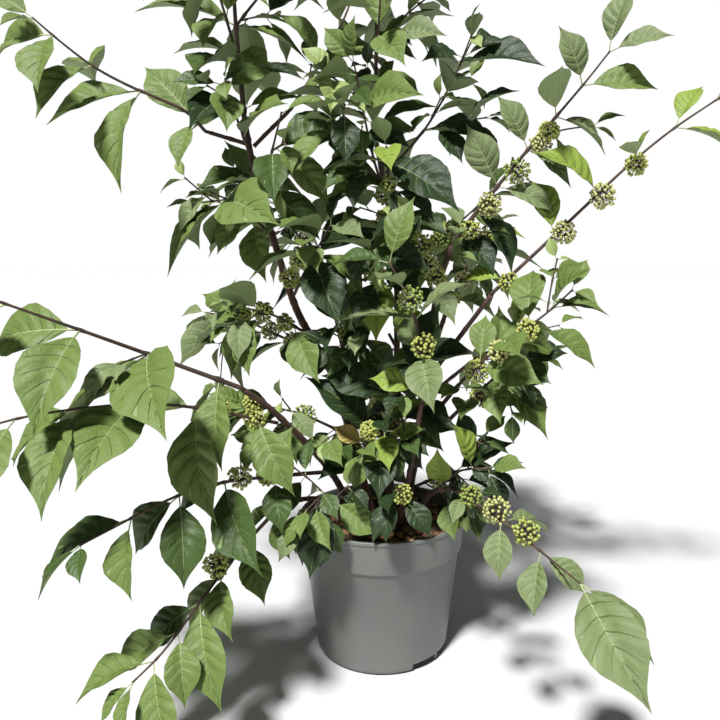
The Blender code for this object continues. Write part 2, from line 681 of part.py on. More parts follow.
def add_limb(name, path, radii, collection):
    """A tapering limb: a curve with its own radius at each point."""
    curve = bpy.data.curves.new(name, "CURVE")
    curve.dimensions = "3D"
    curve.bevel_depth = 1.0
    curve.bevel_resolution = LIMB_BEVEL
    curve.use_fill_caps = True
    spline = curve.splines.new("POLY")
    spline.points.add(len(path) - 1)
    for point, where, radius in zip(spline.points, path, radii):
        point.co = (*where, 1.0)
        point.radius = radius
    spline.use_smooth = True
    return add_object(name, curve, collection, material("stem bark", STEM_BARK, 0.75))


def add_mass(name, grown, collection):
    """One closed body: the shoot, with side shoots, fruit and leaves joined to it in one union."""
    body = add_object(name, mesh_from(name, SOLIDS[grown[0][0]](grown[0][1])), collection)
    loose = bpy.data.collections.new("to fuse")
    bpy.context.scene.collection.children.link(loose)
    for kind, thing in grown[1:]:
        add_object(kind, mesh_from(kind, SOLIDS[kind](thing)), loose)
    union = body.modifiers.new("fuse", "BOOLEAN")
    union.operation = "UNION"
    union.operand_type = "COLLECTION"
    union.collection = loose
    union.solver = "MANIFOLD"
    bpy.context.view_layer.objects.active = body
    bpy.ops.object.modifier_apply(modifier=union.name)
    for piece in list(loose.objects):
        mesh = piece.data
        bpy.data.objects.remove(piece)
        bpy.data.meshes.remove(mesh)
    bpy.data.collections.remove(loose)
    keep_one_body(body.data)
    body.data.materials.clear()
    body.data.materials.append(material("leaf green", LEAF_GREEN, 0.6))
    return body


def keep_one_body(mesh):
    """Drops loose scraps and fills sealed hollows: only the largest outer surface stays."""
    shape = bmesh.new()
    shape.from_mesh(mesh)
    bmesh.ops.triangulate(shape, faces=shape.faces)
    left = set(shape.verts)
    islands = []
    while left:
        island, edge = set(), [left.pop()]
        while edge:
            vertex = edge.pop()
            island.add(vertex)
            for link in vertex.link_edges:
                other = link.other_vert(vertex)
                if other in left:
                    left.discard(other)
                    edge.append(other)
        islands.append(island)
    islands.sort(key=len, reverse=True)
    extra = [vertex for island in islands[1:] for vertex in island]
    if extra:
        print(mesh.name, "drops", len(islands) - 1, "loose bodies of", len(extra), "points")
        bmesh.ops.delete(shape, geom=extra, context="VERTS")
    shape.to_mesh(mesh)
    shape.free()


def evaluated_solid(thing):
    """An object's points and triangles as the viewport shows it."""
    mesh = thing.evaluated_get(bpy.context.evaluated_depsgraph_get()).to_mesh()
    points = [thing.matrix_world @ v.co for v in mesh.vertices]
    return points, [tuple(f.vertices) for f in mesh.polygons]


def clear_scene():
    for thing in list(bpy.data.objects):
        bpy.data.objects.remove(thing)


def main():
    clear_scene()
    plant = bpy.data.collections.new("Potted beautyberry")
    cutters = bpy.data.collections.new("Cutters")
    bpy.context.scene.collection.children.link(plant)
    bpy.context.scene.collection.children.link(cutters)

    pot = add_pot(plant, cutters)
    soil = add_turned("soil", soil_profile(), plant, material("soil", SOIL_BROWN, 0.95))
    limbs = limb_paths()
    for name, (path, radii) in limbs.items():
        add_limb(name, path, radii, plant)
    masses = grow_masses(limbs, [evaluated_solid(pot), evaluated_solid(soil)])
    for name, grown in masses.items():
        add_mass(name, grown, plant)
    leaves = sum(kind == "leaf" for grown in masses.values() for kind, _ in grown)
    print(len(limbs), "limbs,", len(masses), "masses and", leaves, "leaves")


if __name__ == "__main__":
    main()
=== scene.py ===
# %% [markdown]
# # A potted beautyberry, grown in code
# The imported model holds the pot, the soil, ten stems, eight boughs and forty simple masses of leaves. This
# script grows the same shrub again by the same seeded rule and dresses it: veined leaves, berries, bark,
# young shoots, a moulded pot and chips of bark on the compost.

import json
import math
from dataclasses import dataclass

import bmesh
import bpy
import numpy as np
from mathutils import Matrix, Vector, noise
from mathutils.bvhtree import BVHTree

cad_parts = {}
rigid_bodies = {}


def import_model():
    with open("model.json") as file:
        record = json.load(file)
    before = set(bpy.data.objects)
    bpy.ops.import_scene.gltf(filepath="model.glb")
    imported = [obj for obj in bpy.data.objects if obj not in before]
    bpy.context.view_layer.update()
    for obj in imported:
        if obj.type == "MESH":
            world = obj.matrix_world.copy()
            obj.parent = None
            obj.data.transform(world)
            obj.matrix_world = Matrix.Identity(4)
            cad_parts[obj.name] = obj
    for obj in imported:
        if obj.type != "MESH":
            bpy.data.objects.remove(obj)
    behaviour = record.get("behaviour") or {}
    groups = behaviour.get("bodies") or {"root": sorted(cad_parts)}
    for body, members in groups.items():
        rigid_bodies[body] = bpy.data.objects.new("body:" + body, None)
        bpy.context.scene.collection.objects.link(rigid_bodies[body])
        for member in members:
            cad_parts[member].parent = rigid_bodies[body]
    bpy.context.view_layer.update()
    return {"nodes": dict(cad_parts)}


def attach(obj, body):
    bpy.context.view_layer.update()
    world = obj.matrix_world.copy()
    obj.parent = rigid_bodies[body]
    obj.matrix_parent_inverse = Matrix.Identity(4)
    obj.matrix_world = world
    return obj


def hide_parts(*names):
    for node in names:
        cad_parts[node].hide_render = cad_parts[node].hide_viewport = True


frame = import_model()
print("The packed model has", len(frame["nodes"]), "nodes")

# %% [markdown]
# ## The camera
# The photograph was taken from a little under a metre away, from just above the middle of the plant. A
# focal length of 35 mm and a small sideways shift give its framing.

# %% Camera
CAMERA_PLACE = (0.0, -0.985, 0.585)
CAMERA_TILT = 81.0
FOCAL_LENGTH = 35.0
IMAGE_SIDE = 720
MIDDLE_COLUMN = 382

camera_data = bpy.data.cameras.new("camera")
camera_data.lens = FOCAL_LENGTH
camera_data.sensor_width = 36.0
camera_data.shift_x = (IMAGE_SIDE / 2 - MIDDLE_COLUMN) / IMAGE_SIDE
camera = bpy.data.objects.new("camera", camera_data)
camera.location = CAMERA_PLACE
camera.rotation_euler = (math.radians(CAMERA_TILT), 0, 0)
bpy.context.scene.collection.objects.link(camera)
bpy.context.scene.camera = camera
print("The camera stands", -CAMERA_PLACE[1], "m in front of the pot's middle")

# %% [markdown]
# ## Sizes
# All lengths are in metres. The pot is a round grower's pot with a deep band under its lip.

# %% Sizes of the pot and the plant
# Pot
RIM_RADIUS = 0.120
POT_HEIGHT = 0.205
BAND_HEIGHT = 0.047
BAND_FOOT_RADIUS = 0.1170
WALL_TOP_RADIUS = 0.1130
BASE_RADIUS = 0.097
CORNER_RADIUS = 0.010
WALL = 0.0024
LIP = 0.0045
POT_STEPS = 32
SLOT_PAIRS = (53.0, 233.0)
SLOT_SPLAY = 14.0
SLOT_SIZE = (0.042, 0.020, 0.013)
SLOT_HEIGHT = 0.0062

# Soil
SOIL_TOP = 0.187
# Clearances
GAP = 0.0003
CLEAR = 0.0005
GROUND_CLEAR = 0.004

# Limbs
FLARE = 1.4
FLARE_HEIGHT = 0.010
LIMB_STEP = 0.040
LIMB_BEVEL = 1
LIMB_SIDES = 6
LEAD = 0.006

# Twigs, leaves and fruit
TWIG_STEP = 0.040
TWIG_TIP_RADIUS = 0.0010
TWIG_SIDES = 3
SECTION_FILL = 1.25
LEAF_WIDTH = 0.50
LEAF_THICKNESS = 0.014
LEAF_ROOT_RADIUS = 0.0008
LEAF_ARCH = 0.05
LEAF_FOLD = 0.18
FRUIT_RADIUS = 0.0185
FRUIT_SHIFT = 0.80
FRUIT_RISE = 0.40
FRUIT_SPAN = (0.85, 1.10)
STALK = 0.012
TRIES = 6
TRY_TURN = 0.30
TRY_SPREAD = 0.15
TRY_DROOP = 0.25
SEED = 1

# Habits of a shoot. A pair of values runs from its foot to its tip, and a span is a range for chance.
# The fullest leaves stand at a share of the shoot, and a leaf far from there is shorter.
SPREAD = (64.0, 46.0)
END_SPREAD = 34.0
CLOSING = (1.25, 0.65)
HANG = (1.0, 0.7)
FULLEST = 0.55
THINNING = 1.2
FIRST_NODE = 0.45
LENGTH_SPAN = (0.76, 1.16)
DROOP_SPAN = (0.5, 1.4)
SPACING_SPAN = (0.9, 1.1)
TURN_JITTER = 0.30
SPREAD_JITTER = 0.18

# A side shoot heads partly along its shoot, partly outwards and a little up
SIDE_HEADING = (0.70, 0.75, 0.15)
SIDE_SHARE = 0.45
SIDE_LEAST = 0.030
SIDE_BEND = 8.0
SIDE_SIZE = 0.8
SIDE_THICK = 0.8

# What a leaf's upper side turns to, beside straight up: along its shoot, out from it, and to the sun
FACE_AHEAD = 0.45
FACE_OUT = 0.30
FACE_SUN = 0.60

# The crown's whole space: an upright cylinder
CROWN_MIDDLE = (0.03, 0.0)
CROWN_RADIUS = 0.56
CROWN_TOP = 1.16

UP = np.array([0.0, 0.0, 1.0])
LEVEL = np.array([1.0, 1.0, 0.0])
SUNWARD = np.array([-0.5, -0.87, 0.0])

# %% [markdown]
# ## Stems and boughs
# A limb follows a few runs, each a length, a lean from straight up and an azimuth. The stems rise from the
# soil, and the boughs leave the stems.

# %% Stems and boughs
# Stems: place of the foot on the soil, runs, radius at the foot and at the tip
STEMS = {
    "stem_left": ((-0.015, 0.008), [(0.225, 14, 180), (0.080, 36, 180), (0.105, 17, 180),
                                    (0.120, 15, 178), (0.055, 9, 170)], 0.0062, 0.0042),
    "stem_middle": ((0.010, 0.022), [(0.350, 3, 10), (0.190, 11, 180)], 0.0055, 0.0034),
    "stem_right": ((0.036, 0.006), [(0.200, 9, 340), (0.120, 3, 350), (0.080, 20, 330)], 0.0052, 0.0036),
    "stem_front": ((0.024, -0.046), [(0.120, 22, 291), (0.090, 20, 289)], 0.0042, 0.0030),
    "stem_front_left": ((-0.036, -0.022), [(0.090, 24, 196), (0.170, 47, 234), (0.040, 57, 228)],
                        0.0052, 0.0034),
    "stem_low_left": ((-0.050, -0.040), [(0.055, 26, 225), (0.080, 80, 226)], 0.0042, 0.0030),
    "stem_low_right": ((0.046, -0.034), [(0.065, 28, 305), (0.040, 70, 309)], 0.0042, 0.0030),
    "stem_back_left": ((-0.030, 0.050), [(0.220, 14, 118), (0.120, 27, 122)], 0.0052, 0.0034),
    "stem_back_right": ((0.040, 0.052), [(0.200, 16, 58), (0.110, 30, 52)], 0.0052, 0.0034),
    "stem_back_low": ((0.006, 0.074), [(0.070, 22, 92), (0.080, 60, 96)], 0.0044, 0.0030),
}

# Boughs: parent limb, distance along it or None for its tip, runs, radius at the foot and at the tip
BOUGHS = {
    "bough_top_inner": ("stem_left", 0.560, [(0.060, 46, 4)], 0.0030, 0.0026),
    "bough_left_upper": ("stem_left", 0.568, [(0.045, 80, 218)], 0.0030, 0.0026),
    "bough_left_low": ("stem_front_left", 0.100, [(0.070, 78, 236)], 0.0030, 0.0026),
    "bough_right": ("stem_right", 0.215, [(0.130, 36, 338)], 0.0036, 0.0030),
    "bough_front_right": ("stem_right", 0.140, [(0.080, 48, 300)], 0.0034, 0.0028),
    "bough_right_low": ("stem_right", 0.105, [(0.070, 42, 335)], 0.0034, 0.0028),
    "bough_back_left": ("stem_back_left", 0.190, [(0.090, 58, 150)], 0.0032, 0.0028),
    "bough_back_right": ("stem_back_right", 0.170, [(0.090, 60, 30)], 0.0032, 0.0028),
}

# %% [markdown]
# ## Masses of foliage
# Each mass is one shoot that carries on from a limb. A few values say how long its leaves are, how far
# apart their pairs stand, how much they hang, and where its balls of fruit sit.

# %% Masses
@dataclass
class Mass:
    """One mass of foliage: where its shoot starts, the way it runs, and what grows on it.

    Leaves stand in pairs. They are longest past the middle of the shoot, and their pairs come closer
    together towards its tip. On a flat shoot all pairs spread to its two sides, on others each pair is
    turned a quarter from the one before.
    """
    parent: str
    where: float | None
    runs: list
    leaf: float = 0.115
    spacing: float = 0.048
    droop: float = 0.6
    sides: int = 1
    fruit: tuple = ()
    flat: bool = False
    turn: float = 0.0
    last: float = 0.060


# The long arms that reach out of the crown, low and left first
ARMS = {
    "spray_left": Mass("stem_front_left", None, [(0.155, 65, 218), (0.150, 66, 226)],
                       leaf=0.148, spacing=0.078, droop=1.1, sides=0, turn=45, last=0.075),
    "spray_left_middle": Mass("stem_front_left", 0.215,
                              [(0.160, 71, 226), (0.130, 86, 227), (0.060, 97, 225)],
                              leaf=0.130, spacing=0.072, droop=1.0, sides=0, flat=True,
                              fruit=(0.020, 0.075)),
    "spray_left_low": Mass("bough_left_low", None, [(0.145, 79, 233), (0.140, 101, 230)],
                           leaf=0.115, spacing=0.062, droop=1.2, sides=0, fruit=(0.025, 0.070), flat=True),
    "spray_low_left": Mass("stem_low_left", None, [(0.095, 116, 232), (0.140, 121, 239), (0.035, 108, 232)],
                           leaf=0.105, spacing=0.044, droop=0.8, sides=0, fruit=(0.070, 0.118), flat=True,
                           last=0.070),
    "spray_low_right": Mass("stem_low_right", None, [(0.085, 95, 304), (0.145, 103, 302)],
                            leaf=0.075, spacing=0.070, droop=0.8, sides=0, fruit=(0.035, 0.082, 0.135),
                            flat=True, last=0.125),
    "spray_left_upper": Mass("bough_left_upper", None,
                             [(0.030, 54, 255), (0.120, 73, 211), (0.085, 54, 218)],
                             leaf=0.125, spacing=0.060, droop=0.8, sides=0, flat=True, turn=60, last=0.055),
    "spray_right_upper": Mass("stem_right", None, [(0.115, 40, 335), (0.150, 43, 331), (0.030, 37, 344)],
                              leaf=0.086, spacing=0.057, droop=0.5, sides=0, flat=True, turn=80,
                              fruit=(0.020, 0.060, 0.115, 0.160), last=0.070),
    "spray_right": Mass("bough_right", None, [(0.120, 46, 344), (0.150, 45, 344), (0.110, 57, 344)],
                        leaf=0.090, spacing=0.066, droop=0.7, sides=0, flat=True, turn=80,
                        fruit=(0.015, 0.110, 0.175, 0.228)),
    "spray_front": Mass("stem_front", None, [(0.070, 20, 267), (0.065, 17, 210), (0.050, 30, 180)],
                        leaf=0.085, spacing=0.044, droop=0.4, sides=0, turn=20, last=0.080,
                        fruit=(0.020, 0.075, 0.135)),
    "spray_front_right": Mass("bough_front_right", None,
                              [(0.080, 47, 305), (0.110, 53, 332), (0.030, 42, 332)],
                              leaf=0.090, spacing=0.042, sides=0, fruit=(0.050, 0.095, 0.140), last=0.045),
}

# The crown's own masses, top first, then its left, middle and right, its skirt and its back
CROWN = {
    "crown_top_left": Mass("stem_left", None, [(0.190, 4, 170), (0.150, 8, 60)], leaf=0.130, sides=2),
    "crown_left_top": Mass("stem_left", 0.545, [(0.040, 35, 250), (0.050, 35, 240)], leaf=0.135, droop=0.9),
    "crown_top_inner": Mass("bough_top_inner", None, [(0.130, 34, 4), (0.100, 20, 40)], leaf=0.115, sides=1),
    "crown_top": Mass("stem_middle", None, [(0.160, 3, 80), (0.140, 8, 80)], leaf=0.120, sides=3),
    "crown_top_right": Mass("stem_middle", 0.500, [(0.080, 45, 350), (0.120, 28, 340)]),
    "crown_top_front": Mass("stem_middle", 0.470, [(0.060, 50, 250), (0.120, 22, 240)], leaf=0.110),
    "crown_left_high": Mass("stem_left", 0.440, [(0.050, 50, 215), (0.040, 70, 215)], leaf=0.130, droop=1.3),
    "crown_left_fork": Mass("stem_left", 0.490, [(0.060, 50, 290), (0.070, 40, 300)], leaf=0.125, droop=1.0),
    "crown_left_middle": Mass("stem_left", 0.290, [(0.050, 60, 225), (0.050, 75, 220)],
                              droop=1.0, fruit=(0.020, 0.060)),
    "crown_left_inner": Mass("stem_left", 0.350, [(0.070, 50, 300), (0.060, 40, 320)],
                             leaf=0.120, droop=1.0, fruit=(0.030, 0.070)),
    "crown_left_back": Mass("stem_left", 0.450, [(0.080, 55, 110), (0.070, 60, 100)], leaf=0.110),
    "crown_left_low": Mass("stem_left", 0.130, [(0.090, 60, 215), (0.070, 80, 205)], leaf=0.110,
                           droop=0.9, fruit=(0.060,)),
    "crown_middle_high": Mass("stem_middle", 0.420, [(0.070, 50, 265), (0.070, 45, 265)],
                              leaf=0.125, droop=1.1, fruit=(0.060,)),
    "crown_middle": Mass("stem_middle", 0.310, [(0.080, 55, 250), (0.070, 50, 260)],
                         leaf=0.120, droop=0.9, fruit=(0.030, 0.080)),
    "crown_middle_right": Mass("stem_middle", 0.370, [(0.080, 55, 350), (0.070, 50, 340)],
                               droop=0.8, fruit=(0.030, 0.080)),
    "crown_left_foot": Mass("stem_left", 0.090, [(0.060, 50, 285), (0.060, 50, 300)],
                            droop=0.7, fruit=(0.040, 0.090)),
    "crown_middle_front": Mass("stem_middle", 0.110, [(0.060, 45, 280), (0.070, 45, 265)],
                               droop=0.7, fruit=(0.040, 0.090)),
    "crown_middle_low": Mass("stem_middle", 0.200, [(0.070, 45, 225), (0.060, 45, 235)],
                             droop=0.8, fruit=(0.030, 0.080)),
    "crown_right": Mass("stem_right", 0.330, [(0.070, 40, 240), (0.060, 30, 220)], leaf=0.090,
                        fruit=(0.030, 0.080)),
    "crown_right_front": Mass("stem_right", 0.160, [(0.070, 50, 262), (0.060, 45, 250)],
                              fruit=(0.040, 0.100)),
    "crown_right_middle": Mass("bough_right_low", None, [(0.070, 45, 330), (0.050, 50, 320)],
                               droop=0.6, fruit=(0.030, 0.080)),
    "crown_right_low": Mass("stem_right", 0.050, [(0.070, 60, 320), (0.060, 75, 320)], leaf=0.090,
                            droop=0.8, fruit=(0.030, 0.080)),
    "skirt_front": Mass("stem_front", 0.060, [(0.040, 55, 262), (0.030, 80, 256)], leaf=0.075,
                        droop=1.2, fruit=(0.020,), sides=0),
    "skirt_front_right": Mass("stem_low_right", 0.050, [(0.050, 40, 340), (0.050, 80, 330)], leaf=0.085,
                              droop=0.9, fruit=(0.020,)),
    "skirt_left": Mass("stem_low_left", 0.045, [(0.050, 50, 262), (0.055, 100, 243)], leaf=0.105,
                       spacing=0.040, droop=1.1, fruit=(0.020,)),
    "back_left": Mass("stem_back_left", None, [(0.120, 40, 125), (0.100, 55, 120)], leaf=0.115,
                      spacing=0.058, sides=2, fruit=(0.060, 0.110)),
    "back_right": Mass("stem_back_right", None, [(0.120, 45, 55), (0.100, 60, 60)], leaf=0.115,
                       spacing=0.058, sides=2, fruit=(0.060, 0.110)),
    "back_left_arm": Mass("bough_back_left", None, [(0.110, 70, 155), (0.090, 85, 150)], leaf=0.115,
                          spacing=0.058, droop=0.8, fruit=(0.050,)),
    "back_right_arm": Mass("bough_back_right", None, [(0.110, 70, 30), (0.090, 85, 35)], leaf=0.115,
                           spacing=0.058, droop=0.8, fruit=(0.050,)),
    "back_low": Mass("stem_back_low", None, [(0.120, 85, 95), (0.110, 100, 92)], leaf=0.115,
                     spacing=0.056, droop=0.8, fruit=(0.040, 0.100)),
}

MASSES = {**ARMS, **CROWN}

# %% [markdown]
# ## Paths in space
# These helpers turn runs into smooth paths, and find the point, the direction and a side vector anywhere
# along a path.

# %% Path helpers
def unit(vector):
    return vector / np.linalg.norm(vector)


def heading(lean, azimuth):
    lean, azimuth = math.radians(lean), math.radians(azimuth)
    return np.array([math.sin(lean) * math.cos(azimuth), math.sin(lean) * math.sin(azimuth), math.cos(lean)])


def route(start, runs, step):
    """A smooth path from start through the ends of the runs, with a point about every step."""
    corners = [np.array(start, float)]
    for length, lean, azimuth in runs:
        corners.append(corners[-1] + length * heading(lean, azimuth))
    for _ in range(2):
        cut = [corners[0]]
        for a, b in zip(corners, corners[1:]):
            cut += [0.75 * a + 0.25 * b, 0.25 * a + 0.75 * b]
        corners = cut + [corners[-1]]
    return evenly(np.array(corners), step)


def evenly(points, step):
    """The same path with evenly spaced points."""
    far = distances(points)
    count = max(2, round(far[-1] / step) + 1)
    return np.column_stack([np.interp(np.linspace(0, far[-1], count), far, points[:, i]) for i in range(3)])


def distances(points):
    return np.concatenate([[0.0], np.cumsum(np.linalg.norm(np.diff(points, axis=0), axis=1))])


def frames(points):
    """The direction of a path at each point, and a side vector that is carried along without twist."""
    ahead = np.gradient(points, axis=0)
    ahead /= np.linalg.norm(ahead, axis=1)[:, None]
    guide = UP if abs(ahead[0][2]) < 0.94 else np.array([0.0, 1.0, 0.0])
    side = unit(np.cross(ahead[0], guide))
    sides = []
    for direction in ahead:
        side = unit(side - np.dot(side, direction) * direction)
        sides.append(side)
    return ahead, np.array(sides)


def place(points, distance):
    """The point, direction and side vector at a distance along a path."""
    far = distances(points)
    ahead, sides = frames(points)
    point, direction, side = [np.array([np.interp(distance, far, values[:, i]) for i in range(3)])
                              for values in (points, ahead, sides)]
    direction = unit(direction)
    return point, direction, unit(side - np.dot(side, direction) * direction)


def turned(vector, axis, angle):
    """A vector turned about an axis by an angle in radians."""
    return (vector * math.cos(angle) + np.cross(axis, vector) * math.sin(angle)
            + axis * np.dot(axis, vector) * (1 - math.cos(angle)))

# %% [markdown]
# ## Simple solids
# While the plant grows, each leaf, twig and ball of fruit is a small closed solid. Their overlaps tell
# which places are free.

# %% Simple solids
def loft(rings, tip=None):
    """A closed solid through rings of equally many points, which ends in a flat cap or in one point."""
    count = len(rings[0])
    points = [p for ring in rings for p in ring]
    faces = [tuple(reversed(range(count)))]
    for r in range(len(rings) - 1):
        for i in range(count):
            a, b = r * count + i, r * count + (i + 1) % count
            faces += [(a, b, b + count), (a, b + count, a + count)]
    last = (len(rings) - 1) * count
    if tip is None:
        faces.append(tuple(range(last, last + count)))
    else:
        points.append(tip)
        faces += [(last + i, last + (i + 1) % count, len(points) - 1) for i in range(count)]
    return points, faces


def ring(middle, side, over, radius, sides):
    turns = [2 * math.pi * i / sides for i in range(sides)]
    return [middle + radius * (math.cos(t) * side + math.sin(t) * over) for t in turns]


def tube(points, radii, sides=TWIG_SIDES, swell=0.0):
    """A twig or limb of few sides. A twig's corners stand out, so that it has a round one's area."""
    ahead, side = frames(points)
    over = np.cross(ahead, side)
    fill = SECTION_FILL if sides == TWIG_SIDES else 1.0
    return loft([ring(points[i], side[i], over[i], radii[i] * fill + swell, sides)
                 for i in range(len(points))])


def leaf_solid(leaf, swell=0.0):
    """A leaf of seven flat faces: one wide folded section, a small root of the same form, and a point."""
    base, direction, normal, length = leaf
    side = np.cross(direction, normal)
    middle = base + direction * 0.5 * length + normal * LEAF_ARCH * length
    tip = base + direction * (0.97 * length + swell) - normal * LEAF_ARCH * length
    points = []
    for centre, half in ((base, LEAF_ROOT_RADIUS + swell), (middle, 0.5 * LEAF_WIDTH * length + swell)):
        deep = 2 * LEAF_THICKNESS / LEAF_WIDTH * half + 2 * swell
        points += [centre + side * half + normal * LEAF_FOLD * half, centre - normal * deep,
                   centre - side * half + normal * LEAF_FOLD * half]
    faces = [(0, 2, 1), (0, 1, 4, 3), (1, 2, 5, 4), (2, 0, 3, 5), (3, 4, 6), (4, 5, 6), (5, 3, 6)]
    return points + [tip], faces


def fruit_solid(fruit, swell=0.0):
    """A ball of fruit, as a twenty-faced solid round its node."""
    middle, radius, spin = fruit
    ball = bmesh.new()
    bmesh.ops.create_icosphere(ball, subdivisions=1, radius=radius + swell)
    axis = unit(np.array([0.3, 0.2, 1.0]))
    points = [middle + turned(np.array(v.co), axis, spin) for v in ball.verts]
    faces = [tuple(v.index for v in f.verts) for f in ball.faces]
    ball.free()
    return points, faces


SOLIDS = {"twig": lambda twig, swell=0.0: tube(*twig, swell=swell), "leaf": leaf_solid, "fruit": fruit_solid}

# %% [markdown]
# ## The growing rule
# A shoot carries pairs of leaves. Each pair is turned from the one before, the longest leaves stand past
# its middle, and side shoots leave its nodes. A leaf that finds no free place after a few tries is left out.

# %% The growing rule
def path_from(parent, parent_radius, distance, runs, radius, step):
    """A branch's path, 0.3 mm clear of its parent's tip, or of its side for a given distance along it.

    From a tip it first goes on in the parent's own direction, so that the two flat ends lie face to face.
    """
    if distance is None:
        point, direction, _ = place(parent, distances(parent)[-1])
        start, lead = point + direction * GAP, direction
    else:
        point, direction, _ = place(parent, distance)
        lead = heading(*runs[0][1:])
        lean = math.acos(float(np.clip(np.dot(lead, direction), -1, 1)))
        start = point + lead * (parent_radius + 2 * GAP + radius * abs(math.cos(lean))) / math.sin(lean)
    return np.vstack([start, route(start + lead * LEAD, runs, step)])


def taper(foot, tip, count):
    return np.linspace(foot, tip, count)


def limb_paths():
    """Every limb's path and radii, stems first and then the boughs that leave them."""
    limbs = {}
    for name, (place_on_soil, runs, foot, tip) in STEMS.items():
        start = np.array([*place_on_soil, SOIL_TOP + GAP])
        path = np.vstack([start, route(start + UP * FLARE_HEIGHT, runs, LIMB_STEP)])
        radii = np.concatenate([[foot * FLARE], taper(foot, tip, len(path) - 1)])
        limbs[name] = (path, radii)
    for name, (parent, distance, runs, foot, tip) in BOUGHS.items():
        path, radii = limbs[parent]
        thick = radii[-1] if distance is None else np.interp(distance, distances(path), radii)
        path = path_from(path, thick, distance, runs, foot, LIMB_STEP)
        limbs[name] = (path, taper(foot, tip, len(path)))
    return limbs


def facing(direction, ahead, out):
    """The way a leaf's upper side faces: up, outwards along its shoot, and to the sunny front."""
    face = UP + (FACE_AHEAD * ahead + FACE_OUT * out) * LEVEL + FACE_SUN * SUNWARD
    return unit(face - np.dot(face, direction) * direction)


def leaf_on(point, ahead, side, phase, spread, length, droop, roll):
    """A leaf's pose: out and forward from its shoot, and pulled down by its weight."""
    out = math.cos(phase) * side + math.sin(phase) * np.cross(side, ahead)
    direction = unit(ahead * math.cos(spread) + out * math.sin(spread) - UP * droop)
    return point, direction, turned(facing(direction, ahead, out), direction, roll), length


def leaf_pair(place_here, phase, spread, length, droop, rng):
    point, ahead, side = place_here
    for half in (0, math.pi):
        yield "leaf", (point, ahead, side, phase + half, spread + rng.normal(0, SPREAD_JITTER),
                       length * rng.uniform(*LENGTH_SPAN), droop * rng.uniform(*DROOP_SPAN))


def side_shoot(place_here, phase, thick, reach, mass, rng, size):
    point, ahead, side = place_here
    out = math.cos(phase) * side + math.sin(phase) * np.cross(side, ahead)
    along, outward, upward = SIDE_HEADING
    away = unit(ahead * along + out * outward + UP * upward)
    lean = math.degrees(math.acos(away[2]))
    azimuth = math.degrees(math.atan2(away[1], away[0]))
    runs = [(0.5 * reach, lean, azimuth), (0.5 * reach, lean + SIDE_BEND, azimuth)]
    return shoot(route(point, runs, TWIG_STEP), thick, mass, rng, SIDE_SIZE * size)


def shoot(path, foot_radius, mass, rng, size=1.0, sides=0):
    """One shoot with its fruit and leaves, and the side shoots that leave its nodes."""
    radii = taper(foot_radius, TWIG_TIP_RADIUS, len(path))
    far = distances(path)
    grown = [("twig", (path, radii))]
    if size == 1.0:
        for distance in mass.fruit:
            grown.append(("fruit", fruit_at(place(path, distance)[0], rng)))
    distance = FIRST_NODE * mass.spacing * size
    node = 0
    while distance < far[-1] - 0.25 * mass.spacing:
        here = place(path, distance)
        share = distance / far[-1]
        phase = node_phase(mass, node) + rng.normal(0, TURN_JITTER)
        fullness = 1.0 - THINNING * (share - FULLEST) ** 2
        grown += leaf_pair(here, phase, math.radians(between(SPREAD, share)), mass.leaf * size * fullness,
                           mass.droop * between(HANG, share), rng)
        if 0 < node <= sides:
            reach = SIDE_SHARE * (far[-1] - distance) + SIDE_LEAST
            bend = phase + math.pi * (node % 2) + rng.normal(0, TURN_JITTER)
            thick = SIDE_THICK * np.interp(distance, far, radii)
            grown.append(("shoot", side_shoot(here, bend, thick, reach, mass, rng, size)))
        node += 1
        distance += mass.spacing * size * between(CLOSING, share) * rng.uniform(*SPACING_SPAN)
    phase = node_phase(mass, node) + rng.normal(0, TURN_JITTER)
    grown += leaf_pair(place(path, far[-1] - 0.002), phase, math.radians(END_SPREAD), mass.last * size,
                       0.5 * mass.droop, rng)
    return grown


def between(pair, share):
    """A value on its way from a shoot's foot to its tip."""
    foot, tip = pair
    return foot + (tip - foot) * share


def fruit_at(point, rng, size=1.0):
    """A ball of fruit at a node. It encloses the node, and bulges to the crown's outside and up."""
    outward = unit((point - [*CROWN_MIDDLE, 0.0]) * LEVEL) + FRUIT_RISE * UP
    middle = point + FRUIT_SHIFT * FRUIT_RADIUS * size * unit(outward)
    return middle, FRUIT_RADIUS * size * rng.uniform(*FRUIT_SPAN), rng.uniform(0, 2 * math.pi)


def node_phase(mass, node):
    return math.radians(mass.turn + (0 if mass.flat else 90 * node))


def in_crown(points):
    """Whether all points lie in the crown's space and above the ground."""
    points = np.array(points)
    reach = np.linalg.norm(points[:, :2] - CROWN_MIDDLE, axis=1).max()
    return reach < CROWN_RADIUS and points[:, 2].max() < CROWN_TOP and points[:, 2].min() > GROUND_CLEAR


def tree_of(solid):
    points, faces = solid
    return BVHTree.FromPolygons([tuple(p) for p in points], faces)


def touches(solid, trees):
    tree = tree_of(solid)
    return any(tree.overlap(other) for other in trees)


def settle(kind, what, taken, own, rng):
    """A grown thing in a pose that is free, or None. A leaf is turned and lifted a little at each try."""
    if kind in ("twig", "fruit"):
        solid = SOLIDS[kind](what, CLEAR)
        return what if in_crown(solid[0]) and not touches(solid, taken) else None
    for _ in range(TRIES):
        point, ahead, side, phase, spread, length, droop = what
        leaf = leaf_on(point, ahead, side, phase, spread, length, droop, rng.normal(0, TRY_TURN))
        what = (point, ahead, side, phase + rng.normal(0, TRY_TURN), spread + rng.normal(0, TRY_SPREAD),
                length, max(0.0, droop + rng.normal(0, TRY_DROOP)))
        solid = leaf_solid(leaf, CLEAR)
        outer = leaf_solid((leaf[0] + leaf[1] * STALK, *leaf[1:3], leaf[3] - STALK), CLEAR)
        if in_crown(solid[0]) and not touches(solid, taken) and not touches(outer, own):
            return leaf
    return None


